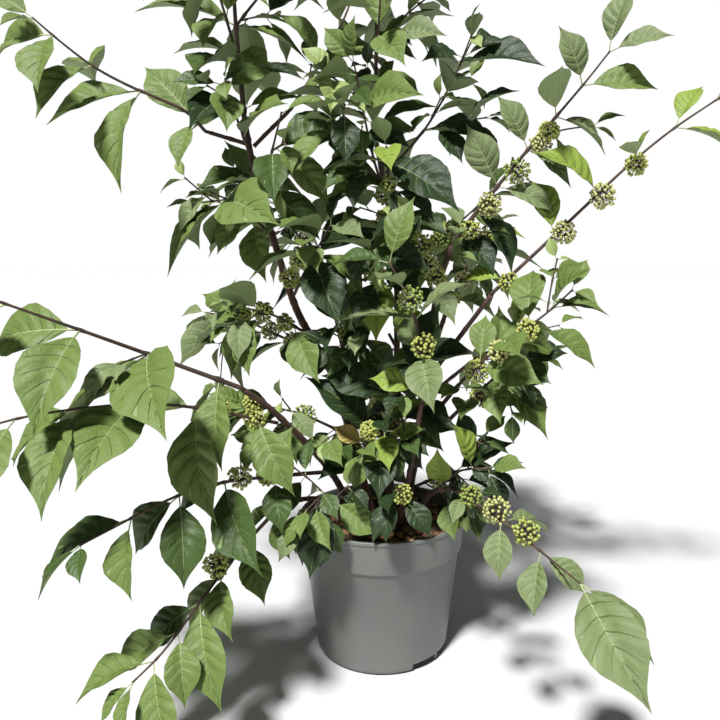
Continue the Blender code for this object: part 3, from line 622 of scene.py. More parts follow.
def grow_masses(limbs, solids_in_the_way):
    """Every mass as a list of (kind, thing): first all main shoots, then what each carries, in turn."""
    taken = [tree_of(solid) for solid in solids_in_the_way]
    taken += [tree_of(tube(path, radii, LIMB_SIDES, GAP / 2)) for path, radii in limbs.values()]
    shoots = {}
    for name, mass in MASSES.items():
        path, radii = limbs[mass.parent]
        thick = radii[-1] if mass.where is None else np.interp(mass.where, distances(path), radii)
        foot = 0.92 * radii[-1] if mass.where is None else min(0.0024, 0.6 * thick)
        path = path_from(path, thick, mass.where, mass.runs, foot * SECTION_FILL, TWIG_STEP)
        earlier = taken + [tree for _, _, tree in shoots.values()]
        while len(path) > 3 and touches(main_shoot(path, foot, GAP), earlier):
            path = path[:-1]
            print(name, "is cut short to", round(distances(path)[-1], 3))
        shoots[name] = (path, foot, tree_of(main_shoot(path, foot)))
    masses = {}
    for number, (name, mass) in enumerate(MASSES.items()):
        path, foot, own_tree = shoots[name]
        others = taken + [tree for other, (_, _, tree) in shoots.items() if other != name]
        rng = np.random.default_rng([SEED, number])
        grown = shoot(path, foot, mass, rng, sides=mass.sides)
        kept, own = grown[:1], [own_tree]
        settle_all(grown[1:], others, own, kept, rng)
        print(name, "keeps", len(kept), "of", count_of(grown))
        taken += [tree_of(SOLIDS[kind](thing)) for kind, thing in kept[1:]]
        masses[name] = kept
    return masses


def main_shoot(path, foot_radius, swell=0.0):
    return tube(path, taper(foot_radius, TWIG_TIP_RADIUS, len(path)), swell=swell)


def count_of(grown):
    return sum(count_of(what) if kind == "shoot" else 1 for kind, what in grown)


def settle_all(grown, taken, own, kept, rng):
    """Keeps what is free. A side shoot that isn't free is left out with all that it carries."""
    for kind, what in grown:
        if kind == "shoot":
            if settle("twig", what[0][1], taken, own, rng):
                settle_all(what, taken, own, kept, rng)
            continue
        thing = settle(kind, what, taken, own, rng)
        if thing is not None:
            kept.append((kind, thing))
            own.append(tree_of(SOLIDS[kind](thing)))

# %% [markdown]
# ## Young shoots
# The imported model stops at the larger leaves. Here the same rule goes on: short young shoots with small
# leaves leave the axils of every twig, within the reach of the mass they belong to.

# %% Young shoots
YOUNG_SIZE = 0.80
YOUNG_REACH = (0.035, 0.070)
YOUNG_THICK = 0.0011
YOUNG_STEP = 0.040
ARM_SHARE = 0.05
CROWN_SHARE = 0.45
FRUIT_SHARE = 0.35
LUSH = {"crown_middle_front": 1.0, "crown_left_foot": 1.0, "crown_middle_low": 1.0, "crown_middle": 0.8,
        "crown_right_front": 0.8, "crown_left_low": 0.8, "skirt_left": 0.9, "skirt_front": 0.2,
        "skirt_front_right": 0.6, "spray_front": 0.5}


def young_shoots(name, kept, taken, rng):
    """Adds short young shoots, and some balls of fruit, to the twigs of a mass where there is room."""
    mass = MASSES[name]
    share = LUSH.get(name, ARM_SHARE if name in ARMS else CROWN_SHARE)
    own = [tree_of(SOLIDS[kind](thing)) for kind, thing in kept]
    for kind, thing in list(kept):
        if kind != "twig":
            continue
        path, radii = thing
        length = distances(path)[-1]
        for distance in np.arange(0.4 * YOUNG_STEP, length - 0.5 * YOUNG_STEP, YOUNG_STEP):
            if rng.random() > share:
                continue
            distance = distance + rng.uniform(-0.2, 0.2) * YOUNG_STEP
            if mass.fruit and rng.random() < FRUIT_SHARE:
                ball = fruit_at(place(path, distance)[0], rng, 0.85)
                settle_all([("fruit", ball)], taken, own, kept, rng)
            shoot_here = side_shoot(place(path, distance), rng.uniform(0, 2 * math.pi), YOUNG_THICK,
                                    rng.uniform(*YOUNG_REACH), mass, rng, YOUNG_SIZE)
            settle_all([("shoot", shoot_here)], taken, own, kept, rng)



limbs = limb_paths()
ground_solids = []
for node in ("pot", "soil"):
    mesh = frame["nodes"][node].data
    ground_solids.append(([tuple(v.co) for v in mesh.vertices], [tuple(f.vertices) for f in mesh.polygons]))
masses = grow_masses(limbs, ground_solids)
trees = {name: [tree_of(SOLIDS[kind](thing)) for kind, thing in grown] for name, grown in masses.items()}
walls = [tree_of(solid) for solid in ground_solids]
walls += [tree_of(tube(path, radii, LIMB_SIDES)) for path, radii in limbs.values()]
for number, (name, kept) in enumerate(masses.items()):
    taken = walls + [tree for other, theirs in trees.items() if other != name for tree in theirs]
    before = len(kept)
    young_shoots(name, kept, taken, np.random.default_rng([SEED, 100 + number]))
    trees[name] += [tree_of(SOLIDS[kind](thing)) for kind, thing in kept[before:]]
leaf_count = sum(kind == "leaf" for kept in masses.values() for kind, _ in kept)
print("The crown has", leaf_count, "leaves")

# %% [markdown]
# ## Materials
# Noise in metres gives every surface its grain: it varies the roughness and raises a small relief. Leaves
# and berries have one plain colour each, and are dealt out by spray. Bark, plastic and compost also mix
# two colours by noise.

# %% Materials
SHEEN = 0.35


def noise_value(tree, scale, detail, low, high):
    """A noise texture in metres, stretched to the range from low to high."""
    coordinates = tree.nodes.new("ShaderNodeTexCoord")
    grain = tree.nodes.new("ShaderNodeTexNoise")
    grain.inputs["Scale"].default_value = scale
    grain.inputs["Detail"].default_value = detail
    stretch = tree.nodes.new("ShaderNodeMapRange")
    stretch.inputs["From Min"].default_value = 0.3
    stretch.inputs["From Max"].default_value = 0.7
    stretch.inputs["To Min"].default_value = low
    stretch.inputs["To Max"].default_value = high
    tree.links.new(coordinates.outputs["Object"], grain.inputs["Vector"])
    tree.links.new(grain.outputs["Fac"], stretch.inputs["Value"])
    return stretch.outputs["Result"]


def surface(name, colour, roughness, grain, relief, second=None, patch=8.0):
    """A material with a noisy roughness, a fine relief of a grain per metre, and an optional second colour."""
    made = bpy.data.materials.new(name)
    made.use_nodes = True
    tree = made.node_tree
    shader = tree.nodes["Principled BSDF"]
    shader.inputs["Base Color"].default_value = (*colour, 1.0)
    shader.inputs["Specular IOR Level"].default_value = SHEEN
    made.diffuse_color = (*colour, 1.0)
    tree.links.new(noise_value(tree, grain / 4, 3.0, roughness - 0.07, roughness + 0.07),
                   shader.inputs["Roughness"])
    bump = tree.nodes.new("ShaderNodeBump")
    bump.inputs["Distance"].default_value = relief
    tree.links.new(noise_value(tree, grain, 4.0, 0.0, 1.0), bump.inputs["Height"])
    tree.links.new(bump.outputs["Normal"], shader.inputs["Normal"])
    if second:
        mix = tree.nodes.new("ShaderNodeMix")
        mix.data_type = "RGBA"
        mix.inputs["A"].default_value = (*colour, 1.0)
        mix.inputs["B"].default_value = (*second, 1.0)
        tree.links.new(noise_value(tree, patch, 5.0, 0.0, 1.0), mix.inputs["Factor"])
        tree.links.new(mix.outputs["Result"], shader.inputs["Base Color"])
    return made


# The tones also differ at random. Dark green is dealt only inside the crown, as painted shade, and deep green more
# often there.
LEAF_TONES = {
    "mid": surface("leaf mid green", (0.126, 0.182, 0.043), 0.56, 300, 0.0003),
    "deep": surface("leaf deep green", (0.050, 0.088, 0.019), 0.50, 300, 0.0003),
    "dark": surface("leaf dark green", (0.018, 0.037, 0.011), 0.50, 300, 0.0003),
    "grey": surface("leaf grey green", (0.158, 0.202, 0.085), 0.60, 300, 0.0003),
    "yellow": surface("leaf yellow green", (0.210, 0.290, 0.045), 0.56, 300, 0.0003),
    "young": surface("young leaf", (0.250, 0.320, 0.100), 0.50, 400, 0.0003),
    "tinted": surface("tinted leaf", (0.400, 0.300, 0.080), 0.50, 400, 0.0003),
}
UNDERSIDE = surface("leaf underside", (0.230, 0.300, 0.130), 0.70, 1200, 0.0002)
# The side veins are dark as painted shade of the furrows they lie in.
SIDE_VEIN_SHADE = surface("leaf side veins", (0.075, 0.122, 0.034), 0.60, 1500, 0.0001)
RIB = surface("leaf ribs", (0.400, 0.450, 0.230), 0.60, 1500, 0.0001)
TWIG = surface("young twig bark", (0.045, 0.028, 0.027), 0.60, 1200, 0.0003, (0.110, 0.070, 0.045), 60)
BARK = surface("stem bark", (0.050, 0.030, 0.030), 0.65, 900, 0.0006, (0.130, 0.065, 0.045), 40)
CUT_WOOD = surface("cut wood", (0.480, 0.330, 0.170), 0.80, 1500, 0.0003, (0.330, 0.210, 0.110), 300)
BERRY_TONES = [
    surface("unripe berry", (0.390, 0.430, 0.110), 0.34, 1500, 0.0001),
    surface("green berry", (0.270, 0.340, 0.080), 0.34, 1500, 0.0001),
    surface("pale berry", (0.480, 0.490, 0.190), 0.34, 1500, 0.0001),
]
POT_PLASTIC = surface("grey pot plastic", (0.140, 0.146, 0.138), 0.42, 700, 0.00012,
                      (0.158, 0.163, 0.152), 25)
COMPOST = surface("compost", (0.030, 0.020, 0.014), 0.95, 500, 0.0020, (0.085, 0.055, 0.035), 200)
CHIPS = [
    surface("tan bark chip", (0.420, 0.250, 0.120), 0.85, 700, 0.0006, (0.300, 0.160, 0.070), 150),
    surface("orange bark chip", (0.330, 0.150, 0.060), 0.85, 700, 0.0006, (0.200, 0.090, 0.040), 150),
    surface("dark bark chip", (0.070, 0.042, 0.030), 0.90, 700, 0.0006, (0.130, 0.080, 0.055), 150),
]

# %% [markdown]
# ## Joined pieces
# Thousands of small parts become a few meshes, each kind apart. A part is an array of points and an array
# of faces that count from its own first point.

# %% Joining parts


def joined(name, parts, look, smooth=True):
    """One object from many (points, faces) parts."""
    counts = np.cumsum([0] + [len(points) for points, _ in parts])
    points = np.concatenate([points for points, _ in parts])
    faces = [[i + count for i in face] for (_, part), count in zip(parts, counts.tolist()) for face in part]
    mesh = bpy.data.meshes.new(name)
    mesh.from_pydata(points.tolist(), [], faces)
    mesh.polygons.foreach_set("use_smooth", [smooth] * len(mesh.polygons))
    mesh.materials.append(look)
    made = bpy.data.objects.new(name, mesh)
    bpy.context.scene.collection.objects.link(made)
    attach(made, "root")
    print(name, "has", sum(len(face) - 2 for face in faces), "triangles")
    return made


def strip_faces(rows, columns, flipped=False):
    """The quads of a grid of points that runs row by row."""
    quads = []
    for r in range(rows - 1):
        for c in range(columns - 1):
            a = r * columns + c
            quad = [a, a + 1, a + columns + 1, a + columns]
            quads.append(quad[::-1] if flipped else quad)
    return quads


def tube_faces(rings, sides, start=0):
    """The quads of a tube of rings."""
    quads = []
    for r in range(rings - 1):
        for i in range(sides):
            a, b = start + r * sides + i, start + r * sides + (i + 1) % sides
            quads.append([a, b, b + sides, a + sides])
    return quads


def tube_points(path, radii, sides):
    """The points of a round tube: one ring of a few points round each point of its path."""
    ahead, side = frames(path)
    over = np.cross(ahead, side)
    turns = 2 * math.pi * np.arange(sides) / sides
    around = (np.cos(turns)[None, :, None] * side[:, None, :] + np.sin(turns)[None, :, None] * over[:, None, :])
    radii = np.asarray(radii)
    radii = radii[:, None, None] if radii.ndim == 1 else radii[:, :, None]
    return (path[:, None, :] + radii * around).reshape(-1, 3)


def round_tube(path, radii, sides):
    """A tube with its two ends closed."""
    faces = tube_faces(len(path), sides)
    last = (len(path) - 1) * sides
    faces.append(list(range(sides))[::-1])
    faces.append(list(range(last, last + sides)))
    return tube_points(path, radii, sides), faces


def fine_path(points, step):
    """A smooth curve through the points of a coarse path, with a point about every step."""
    points = np.asarray(points)
    padded = np.vstack([2 * points[0] - points[1], points, 2 * points[-1] - points[-2]])
    fine = []
    for a, b, c, d in zip(padded, padded[1:], padded[2:], padded[3:]):
        count = max(1, round(np.linalg.norm(c - b) / step))
        t = (np.arange(count) / count)[:, None]
        fine.append(b + 0.5 * t * (c - a) + t ** 2 * (a - 2.5 * b + 2 * c - 0.5 * d)
                    + 0.5 * t ** 3 * (3 * b - a - 3 * c + d))
    return np.vstack(fine + [points[-1:]])

# %% [markdown]
# ## One leaf
# A leaf is widest before its middle, folds up from its midrib and ends in a drawn-out point. Its rows of
# points follow the side veins: they leave the midrib and sweep forward to the edge. Every third row is a
# vein, which lies in a furrow, and the blade is quilted between them. The edge waves and has fine teeth.

# %% Leaves
VEIN_PAIRS = 7
SWEEP = 0.24
QUILT = 0.052
TOOTH = 0.030
TIP_FROM = 0.62
TIP_DRAWN = 0.72
FINE_FOLD = (0.22, 0.52)
SLIM = (0.86, 1.03)
BLADE = 0.00035
VEIN_REACH = np.array([0.0, 0.33, 0.66, 0.94])
VEIN_WIDTH = np.array([0.0080, 0.0070, 0.0050, 0.0020])
VEIN_LIFT = np.array([0.0015, 0.0070, 0.0054, 0.0015])
ROWS = 3 * (VEIN_PAIRS + 1) + 1
SMALL_ROWS = 9
UNDER_ROWS = 17
VEINED_FROM = 0.045
COLUMNS = np.array([-1.0, -0.66, -0.33, 0.0, 0.33, 0.66, 1.0])
UNDER_COLUMNS = np.array([-1.0, -0.5, 0.0, 0.5, 1.0])


def outline(share):
    """Half the width of a leaf at a share of its blade, as a share of its greatest half width."""
    share = np.clip(share, 0.0, 1.0)
    drawn = np.clip((share - TIP_FROM) / (1.0 - TIP_FROM), 0.0, 1.0)
    return np.sin(math.pi * share ** 0.94) ** 0.94 * (1.0 - TIP_DRAWN * drawn ** 2 * (3.0 - 2.0 * drawn))


def blade(leaf, bend, rows, across, quilt, lift):
    """Points of a leaf's blade on a grid of shares along its midrib and across it."""
    base, direction, normal, length = leaf
    curl, sickle, wave, fold, slim = bend
    side = np.cross(direction, normal)
    teeth = (np.arange(len(rows)) % 2)[:, None]
    along, across = np.meshgrid(rows, across, indexing="ij")
    edge = along + SWEEP * np.sin(math.pi * along)
    at = along + (edge - along) * np.abs(across) ** 1.3
    full = outline(edge)
    out = across * 0.5 * LEAF_WIDTH * slim * length * full * (1.0 + TOOTH * teeth * (np.abs(across) > 0.99))
    stalk = min(STALK, 0.16 * length)
    s = (stalk + (length - stalk) * at) / length
    pillow = np.abs(np.sin(math.pi * along * (VEIN_PAIRS + 1))) ** 0.6 * np.sin(math.pi * np.abs(across))
    height = fold * np.abs(out) + lift + quilt * QUILT * length * pillow * full
    height = height + 0.016 * length * np.sin(2 * math.pi * (2.2 * at + wave * across)) * across ** 2 * full
    points = (base + (s * length)[..., None] * direction + (out + sickle * length * s ** 2)[..., None] * side
              + (height + length * (0.26 * s - 0.32 * s ** 2 - curl * s ** 3))[..., None] * normal)
    return points.reshape(-1, 3)


def leaf_parts(leaf, rng):
    """A leaf's upper side, its underside, its ribs and its side veins."""
    length = leaf[3]
    bend = (rng.uniform(-0.02, 0.10), rng.normal(0, 0.03), rng.uniform(0.4, 1.6), rng.uniform(*FINE_FOLD),
            rng.uniform(*SLIM))
    large = length > VEINED_FROM
    rows = np.linspace(0, 1, ROWS if large else SMALL_ROWS)
    columns = COLUMNS if large else UNDER_COLUMNS
    upper = blade(leaf, bend, rows, columns, 1.0 if large else 0.0, 0.0), strip_faces(len(rows), len(columns))
    veins = np.linspace(0, 1, VEIN_PAIRS + 2)
    under = blade(leaf, bend, np.linspace(0, 1, UNDER_ROWS), UNDER_COLUMNS, 0.0, -BLADE), UNDER_FACES
    spine = np.vstack([leaf[0], blade(leaf, bend, veins, np.array([0.0]), 0.0, -BLADE / 2)])
    radii = np.linspace(0.0082 * length + 0.0002, 0.0003, len(spine))
    ribs = (tube_points(spine, radii, 3), tube_faces(len(spine), 3))
    return upper, under, ribs, side_veins(leaf, bend, veins) if large else None


def side_veins(leaf, bend, rows):
    """Thin strips that bridge the furrows of the side veins, dark as a painted shade of those furrows."""
    length = leaf[3]
    points, faces = [], []
    for row in rows[1:-1]:
        for way in (-1.0, 1.0):
            line = blade(leaf, bend, np.array([row]), way * VEIN_REACH, 0.0, VEIN_LIFT * length)
            width = (VEIN_WIDTH * length)[:, None] * leaf[1]
            start = len(points)
            points += list(line - width)
            points += list(line + width)
            order = [[start + i, start + i + 1, start + i + 5, start + i + 4] for i in range(3)]
            faces += [quad[::-1] for quad in order] if way > 0 else order
    return np.array(points), faces


UNDER_FACES = strip_faces(UNDER_ROWS, len(UNDER_COLUMNS), flipped=True)

# %% [markdown]
# ## Leaf colours by spray
# Every spray draws one tone, with odds that hang on its place. Tips of shoots are young and pale, and one leaf
# low in the middle has begun to turn. Lighter tones on the arms are painted light, and deep and dark green
# inside the crown is painted shade.

# %% Deal the leaves out
TURNING = np.array([-0.021, -0.055, 0.319])


def spray_tone(name, spot, rng):
    """A spray's tone by chance and place: lighter on the arms as painted light, darker inside the crown as painted
    shade.
    """
    # The arms draw light tones more often and deep green less, as painted light.
    if name in ARMS:
        return ["mid", "deep", "grey", "yellow", "young"][rng.choice(5, p=[0.62, 0.12, 0.14, 0.09, 0.03])]
    # Inside the crown the odds move to deep and dark green, as painted shade.
    outside = np.linalg.norm(spot[:2] - CROWN_MIDDLE) / CROWN_RADIUS
    inside = min(1.0, max(0.0, 0.50 - outside) / 0.3)
    chances = np.array([0.48 - 0.25 * inside, 0.24 + 0.05 * inside, 0.50 * inside,
                        0.20 - 0.12 * inside, 0.06 - 0.04 * inside, 0.03])
    return ["mid", "deep", "dark", "grey", "yellow", "young"][rng.choice(6, p=chances / chances.sum())]


tone_rng = np.random.default_rng([SEED, 7])
shape_rng = np.random.default_rng([SEED, 8])
leaf_pieces = {tone: [] for tone in LEAF_TONES}
unders, ribs, veins = [], [], []
closest = min((leaf for kept in masses.values() for kind, leaf in kept if kind == "leaf"),
              key=lambda leaf: np.linalg.norm(leaf[0] - TURNING))
for name, kept in masses.items():
    tone = "mid"
    for kind, thing in kept:
        if kind == "twig":
            tone = spray_tone(name, thing[0][len(thing[0]) // 2], tone_rng)
        if kind != "leaf":
            continue
        own_tone = spray_tone(name, thing[0], tone_rng) if tone_rng.random() < 0.25 else tone
        if thing[3] < 0.036:
            own_tone = "young"
        if thing is closest:
            own_tone = "tinted"
        upper, under, rib, vein = leaf_parts(thing, shape_rng)
        leaf_pieces[own_tone].append(upper)
        unders.append(under)
        ribs.append(rib)
        if vein:
            veins.append(vein)

made_leaves = [joined("leaves_" + tone, parts, LEAF_TONES[tone]) for tone, parts in leaf_pieces.items()]
joined("leaf_undersides", unders, UNDERSIDE)
joined("leaf_midribs", ribs, RIB)
# The dark vein strips are painted shade of the furrows.
joined("leaf_side_veins", veins, SIDE_VEIN_SHADE)
mass_names = list(masses)
for number, made in enumerate(made_leaves):
    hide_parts(*mass_names[number::len(made_leaves)])

# %% [markdown]
# ## Twigs
# A twig is a round tube that swells a little where a pair of leaves stands on it.

# %% Twigs
twigs = []
for kept in masses.values():
    bases = np.array([thing[0] for kind, thing in kept if kind == "leaf"])
    for kind, thing in kept:
        if kind != "twig":
            continue
        path = fine_path(thing[0], 0.006)
        radii = np.interp(np.linspace(0, 1, len(path)), np.linspace(0, 1, len(thing[1])), thing[1])
        near = np.linalg.norm(path[:, None, :] - bases[None, :, :], axis=2).min(axis=1) < 0.0035
        radii = radii * np.where(near, 1.4, 1.0)
        twigs.append(round_tube(path, radii, 7))
joined("twigs", twigs, TWIG)

# %% [markdown]
# ## Stems and boughs with bark
# Long low ridges and small corky spots stand out of the bark. The ridges are stretched noise, and every
# few centimetres an old leaf joint rings the stem.

# %% Bark
BARK_STEP = 0.003
BARK_SIDES = 14
JOINT_STEP = 0.046
STUBS = (("stem_left", 0.215, [(0.030, 42, 350)]), ("stem_middle", 0.255, [(0.016, 50, 120)]),
         ("stem_right", 0.265, [(0.020, 45, 60)]))


def bark_radii(path, radii, offset):
    """A radius for each point of each ring, with ridges, corky spots and joints."""
    far = distances(path)
    turns = 2 * math.pi * np.arange(BARK_SIDES) / BARK_SIDES
    table = np.empty((len(path), BARK_SIDES))
    for r, (distance, radius) in enumerate(zip(far, radii)):
        joint = 0.16 * math.exp(-(((distance / JOINT_STEP + offset) % 1.0 - 0.5) * JOINT_STEP / 0.0028) ** 2)
        for i, turn in enumerate(turns):
            ridge = noise.noise(Vector((2.0 * math.cos(turn), 2.0 * math.sin(turn), 30 * distance + offset)))
            spot = max(0.0, noise.noise(Vector((3.5 * math.cos(turn), 3.5 * math.sin(turn),
                                                160 * distance + 9 * offset))) - 0.30)
            table[r, i] = radius * (1.0 + 0.07 * ridge + 0.35 * spot + joint)
    return table


for number, (name, (path, radii)) in enumerate(limbs.items()):
    fine = fine_path(path, BARK_STEP)
    far = distances(np.asarray(path))
    fine_radii = np.interp(distances(fine) * far[-1] / distances(fine)[-1], far, radii)
    bark = joined("bark_" + name, [round_tube(fine, bark_radii(fine, fine_radii, 0.37 * number), BARK_SIDES)],
                  BARK)
    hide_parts(name)

stub_tubes, cuts = [], []
for parent, distance, runs in STUBS:
    path, radii = limbs[parent]
    stub = fine_path(path_from(path, 0.5 * radii[0], distance, runs, 0.0022, 0.008), 0.004)
    stub_tubes.append(round_tube(stub, np.linspace(0.0026, 0.0022, len(stub)), 10))
    ahead = unit(stub[-1] - stub[-2])
    cuts.append(round_tube(np.array([stub[-1] - 0.0002 * ahead, stub[-1] + 0.0003 * ahead]), [0.0019, 0.0018], 10))
joined("pruned_stubs", stub_tubes, BARK)
joined("pruned_stub_cuts", cuts, CUT_WOOD, smooth=False)

# %% [markdown]
# ## Berries
# The unripe berries sit in balls round the nodes. Each one is a small round fruit on its own thin stalk,
# with dark gaps between them.

# %% Berries
BERRIES = 82
BERRY_RADIUS = 0.0023


def berry_ball():
    """A small round berry: a twenty-faced solid of radius one."""
    shape = bmesh.new()
    bmesh.ops.create_icosphere(shape, subdivisions=1, radius=1.0)
    points = np.array([v.co[:] for v in shape.verts])
    faces = [[v.index for v in f.verts] for f in shape.faces]
    shape.free()
    return points, faces


BALL_POINTS, BALL_FACES = berry_ball()


def cluster(fruit, rng):
    """The berries and stalks of one ball of fruit."""
    middle, radius, spin = fruit
    balls, stalks = [], []
    for i in range(BERRIES):
        z = 1 - 2 * (i + 0.5) / BERRIES
        turn = i * math.pi * (3 - math.sqrt(5)) + spin
        flat = math.sqrt(1 - z * z)
        out = unit(np.array([flat * math.cos(turn), flat * math.sin(turn), z]) + rng.normal(0, 0.10, 3))
        reach = radius * rng.uniform(0.72, 0.98) - BERRY_RADIUS
        size = BERRY_RADIUS * rng.uniform(0.80, 1.12)
        balls.append((middle + out * reach + BALL_POINTS * size, BALL_FACES))
        stalk = np.array([middle + out * 0.2 * radius, middle + out * reach])
        stalks.append((tube_points(stalk, [0.0005, 0.0003], 3), tube_faces(2, 3)))
    return balls, stalks


fruit_rng = np.random.default_rng([SEED, 9])
berry_pieces, stalk_parts = [[] for _ in BERRY_TONES], []
for kept in masses.values():
    for kind, thing in kept:
        if kind == "fruit":
            balls, stalks = cluster(thing, fruit_rng)
            berry_pieces[fruit_rng.choice(len(BERRY_TONES), p=[0.5, 0.3, 0.2])] += balls
            stalk_parts += stalks
for number, (parts, look) in enumerate(zip(berry_pieces, BERRY_TONES)):
    joined("berries_" + str(number + 1), parts, look)
joined("berry_stalks", stalk_parts, TWIG)

# %% [markdown]
# ## The pot
# The pot is a profile turned round its axis: a rolled lip, the deep band with a step under it, the tapered
# wall and the rounded foot. Four drain slots are cut through the foot.

# %% Pot
FINE_STEPS = 128
LIP_ROUND = 0.0016
STEP_ROUND = 0.0012


def arc(middle, radius, start, end, count):
    angles = [math.radians(start + (end - start) * i / (count - 1)) for i in range(count)]
    return [(middle[0] + radius * math.cos(a), middle[1] + radius * math.sin(a)) for a in angles]


def inner_radius(height):
    """The pot's inside radius at a height, below its band."""
    share = height / (POT_HEIGHT - BAND_HEIGHT)
    return BASE_RADIUS + (WALL_TOP_RADIUS - BASE_RADIUS) * min(share, 1.0) - WALL


def pot_outline():
    """The profile as (radius, height) points: the inside upwards, over the lip, and down the outside."""
    shoulder = POT_HEIGHT - BAND_HEIGHT
    inside = [(0.0, WALL), (BASE_RADIUS - CORNER_RADIUS, WALL), (inner_radius(CORNER_RADIUS), CORNER_RADIUS),
              (inner_radius(shoulder), shoulder + 0.004), (RIM_RADIUS - LIP, POT_HEIGHT - 0.006)]
    lip = arc((RIM_RADIUS - LIP + LIP_ROUND, POT_HEIGHT - LIP_ROUND), LIP_ROUND, 180, 90, 4)
    lip += arc((RIM_RADIUS - LIP_ROUND, POT_HEIGHT - LIP_ROUND), LIP_ROUND, 90, 0, 5)
    lip += [(RIM_RADIUS, POT_HEIGHT - 0.0045), (RIM_RADIUS - 0.0014, POT_HEIGHT - 0.0058)]
    step = arc((BAND_FOOT_RADIUS - STEP_ROUND, shoulder + STEP_ROUND), STEP_ROUND, 0, -90, 4)
    step += [(WALL_TOP_RADIUS + 0.0004, shoulder), (WALL_TOP_RADIUS, shoulder - 0.0006)]
    corner = arc((BASE_RADIUS - CORNER_RADIUS, CORNER_RADIUS), CORNER_RADIUS, 0, -90, 7)
    return inside + lip + step + corner + [(0.0, 0.0)]


profile = bpy.data.meshes.new("pot_body")
edges = [(i, i + 1) for i in range(len(pot_outline()) - 1)]
profile.from_pydata([(r, 0.0, z) for r, z in pot_outline()], edges, [])
pot = bpy.data.objects.new("pot_body", profile)
bpy.context.scene.collection.objects.link(pot)
turn = pot.modifiers.new("turn", "SCREW")
turn.steps = turn.render_steps = FINE_STEPS
turn.use_merge_vertices = True
turn.merge_threshold = 0.0001
turn.use_smooth_shade = True
cutters = []
for pair in SLOT_PAIRS:
    for splay in (-SLOT_SPLAY, SLOT_SPLAY):
        around = math.radians(pair + splay - 90)
        box = bmesh.new()
        bmesh.ops.create_cube(box, size=1.0)
        bmesh.ops.scale(box, vec=SLOT_SIZE, verts=box.verts)
        mesh = bpy.data.meshes.new("drain_slot")
        box.to_mesh(mesh)
        box.free()
        cutter = bpy.data.objects.new("drain_slot", mesh)
        bpy.context.scene.collection.objects.link(cutter)
        cutter.location = (BASE_RADIUS * math.cos(around), BASE_RADIUS * math.sin(around), SLOT_HEIGHT)
        cutter.rotation_euler = (0, 0, around + math.pi / 2)
        cut = pot.modifiers.new("drain slot", "BOOLEAN")
        cut.object = cutter
        cutters.append(cutter)
solid = bpy.data.meshes.new_from_object(pot.evaluated_get(bpy.context.evaluated_depsgraph_get()))
pot.modifiers.clear()
pot.data = solid
for cutter in cutters:
    bpy.data.objects.remove(cutter)
solid.polygons.foreach_set("use_smooth", [True] * len(solid.polygons))
solid.set_sharp_from_angle(angle=math.radians(35))
solid.materials.clear()
solid.materials.append(POT_PLASTIC)
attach(pot, "root")
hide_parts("pot")
print("The pot has", len(solid.polygons), "faces")

# %% [markdown]
# ## Compost and bark chips
# The packed soil stays as the filling. A crumbly sheet lies on it, with flat chips of bark and crumbs of
# compost strewn over it by a seeded rule.

# %% Compost and chips
SOIL_RADIUS = inner_radius(POT_HEIGHT) - 2 * GAP
CHIP_COUNT = 520
CRUMB_COUNT = 700


def soil_height(x, y):
    """The height of the crumbly surface."""
    broad = noise.noise(Vector((22 * x, 22 * y, 0.0)))
    fine = noise.noise(Vector((110 * x, 110 * y, 3.0)))
    return SOIL_TOP + 0.0016 + 0.0022 * broad + 0.0014 * fine


rings, spokes = 30, 72
sheet = [np.array([0.0, 0.0, soil_height(0, 0)])]
for r in range(1, rings + 1):
    for s in range(spokes):
        x = SOIL_RADIUS * r / rings * math.cos(2 * math.pi * s / spokes)
        y = SOIL_RADIUS * r / rings * math.sin(2 * math.pi * s / spokes)
        sheet.append(np.array([x, y, soil_height(x, y) if r < rings else SOIL_TOP]))
sheet_faces = [[0, 1 + s, 1 + (s + 1) % spokes] for s in range(spokes)]
sheet_faces += [quad[::-1] for quad in tube_faces(rings, spokes, start=1)]
joined("compost_surface", [(np.array(sheet), sheet_faces)], COMPOST)

CUBE = np.array([[x, y, z] for x in (-0.5, 0.5) for y in (-0.5, 0.5) for z in (-0.5, 0.5)])
CUBE_FACES = [[0, 1, 3, 2], [4, 6, 7, 5], [0, 4, 5, 1], [2, 3, 7, 6], [0, 2, 6, 4], [1, 5, 7, 3]]


def strewn(size, rng):
    """A rough chip or crumb of a size, lying somewhere on the compost."""
    far = (SOIL_RADIUS - 0.006) * math.sqrt(rng.random())
    turn = rng.uniform(0, 2 * math.pi)
    x, y = far * math.cos(turn), far * math.sin(turn)
    points = CUBE * size * (1.0 + rng.uniform(-0.3, 0.3, (8, 3)))
    face = unit(np.array([rng.normal(0, 0.25), rng.normal(0, 0.25), 1.0]))
    long = unit(np.cross(face, np.array([math.cos(turn * 5), math.sin(turn * 5), 0.0])))
    wide = np.cross(face, long)
    middle = np.array([x, y, soil_height(x, y) + 0.35 * size[2]])
    return middle + points[:, :1] * long + points[:, 1:2] * wide + points[:, 2:] * face, CUBE_FACES


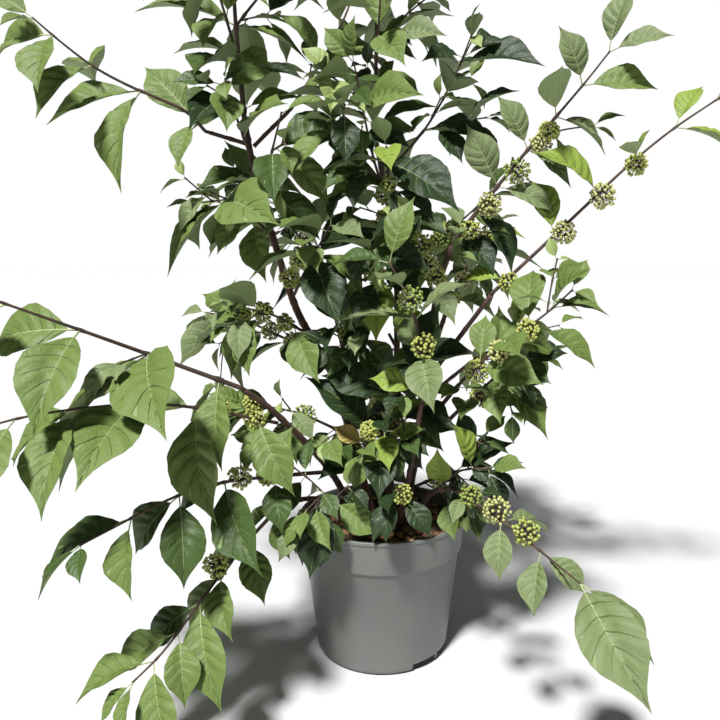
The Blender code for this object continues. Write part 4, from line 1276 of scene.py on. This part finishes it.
chip_rng = np.random.default_rng([SEED, 10])
chip_parts = [[] for _ in CHIPS]
for _ in range(CHIP_COUNT):
    long = chip_rng.uniform(0.006, 0.017)
    size = np.array([long, long * chip_rng.uniform(0.3, 0.6), chip_rng.uniform(0.0012, 0.0026)])
    chip_parts[chip_rng.choice(3, p=[0.40, 0.25, 0.35])].append(strewn(size, chip_rng))
for number, (parts, look) in enumerate(zip(chip_parts, CHIPS)):
    joined("bark_chips_" + str(number + 1), parts, look, smooth=False)
crumbs = [strewn(np.full(3, chip_rng.uniform(0.0015, 0.0040)), chip_rng) for _ in range(CRUMB_COUNT)]
joined("compost_crumbs", crumbs, COMPOST, smooth=False)
filling = frame["nodes"]["soil"]
filling.data.materials.clear()
filling.data.materials.append(COMPOST)

# %% [markdown]
# ## Floor and light
# A plain pale floor, a white surround and one key light from the front left and above. The surround looks
# white behind the plant, but lights it more gently than it looks.

# %% Floor and light
KEY_FROM = Vector((-0.34, -0.80, 1.30))
KEY_STRENGTH = 6.0
KEY_SOFTNESS = 8.0
SKY_COLOUR = (0.95, 0.98, 1.0)
SKY_LIGHT = 0.12
PALE = (0.62, 0.62, 0.62)

bpy.ops.mesh.primitive_plane_add(size=40)
floor = bpy.context.object
floor.name = "floor"
floor.data.materials.append(surface("pale floor", PALE, 0.80, 200, 0.0001))

world = bpy.data.worlds.new("surround")
world.use_nodes = True
nodes, links = world.node_tree.nodes, world.node_tree.links
seen = nodes["Background"]
seen.inputs["Color"].default_value = (1, 1, 1, 1)
light = nodes.new("ShaderNodeBackground")
light.inputs["Color"].default_value = (*SKY_COLOUR, 1)
light.inputs["Strength"].default_value = SKY_LIGHT
ray = nodes.new("ShaderNodeLightPath")
mix = nodes.new("ShaderNodeMixShader")
links.new(ray.outputs["Is Camera Ray"], mix.inputs[0])
links.new(light.outputs[0], mix.inputs[1])
links.new(seen.outputs[0], mix.inputs[2])
links.new(mix.outputs[0], nodes["World Output"].inputs["Surface"])
bpy.context.scene.world = world

key = bpy.data.lights.new("key light", "SUN")
key.energy = KEY_STRENGTH
key.angle = math.radians(KEY_SOFTNESS)
key_object = bpy.data.objects.new("key light", key)
key_object.rotation_euler = (-KEY_FROM).to_track_quat("-Z", "Y").to_euler()
bpy.context.scene.collection.objects.link(key_object)
bpy.context.scene.view_settings.view_transform = "Standard"
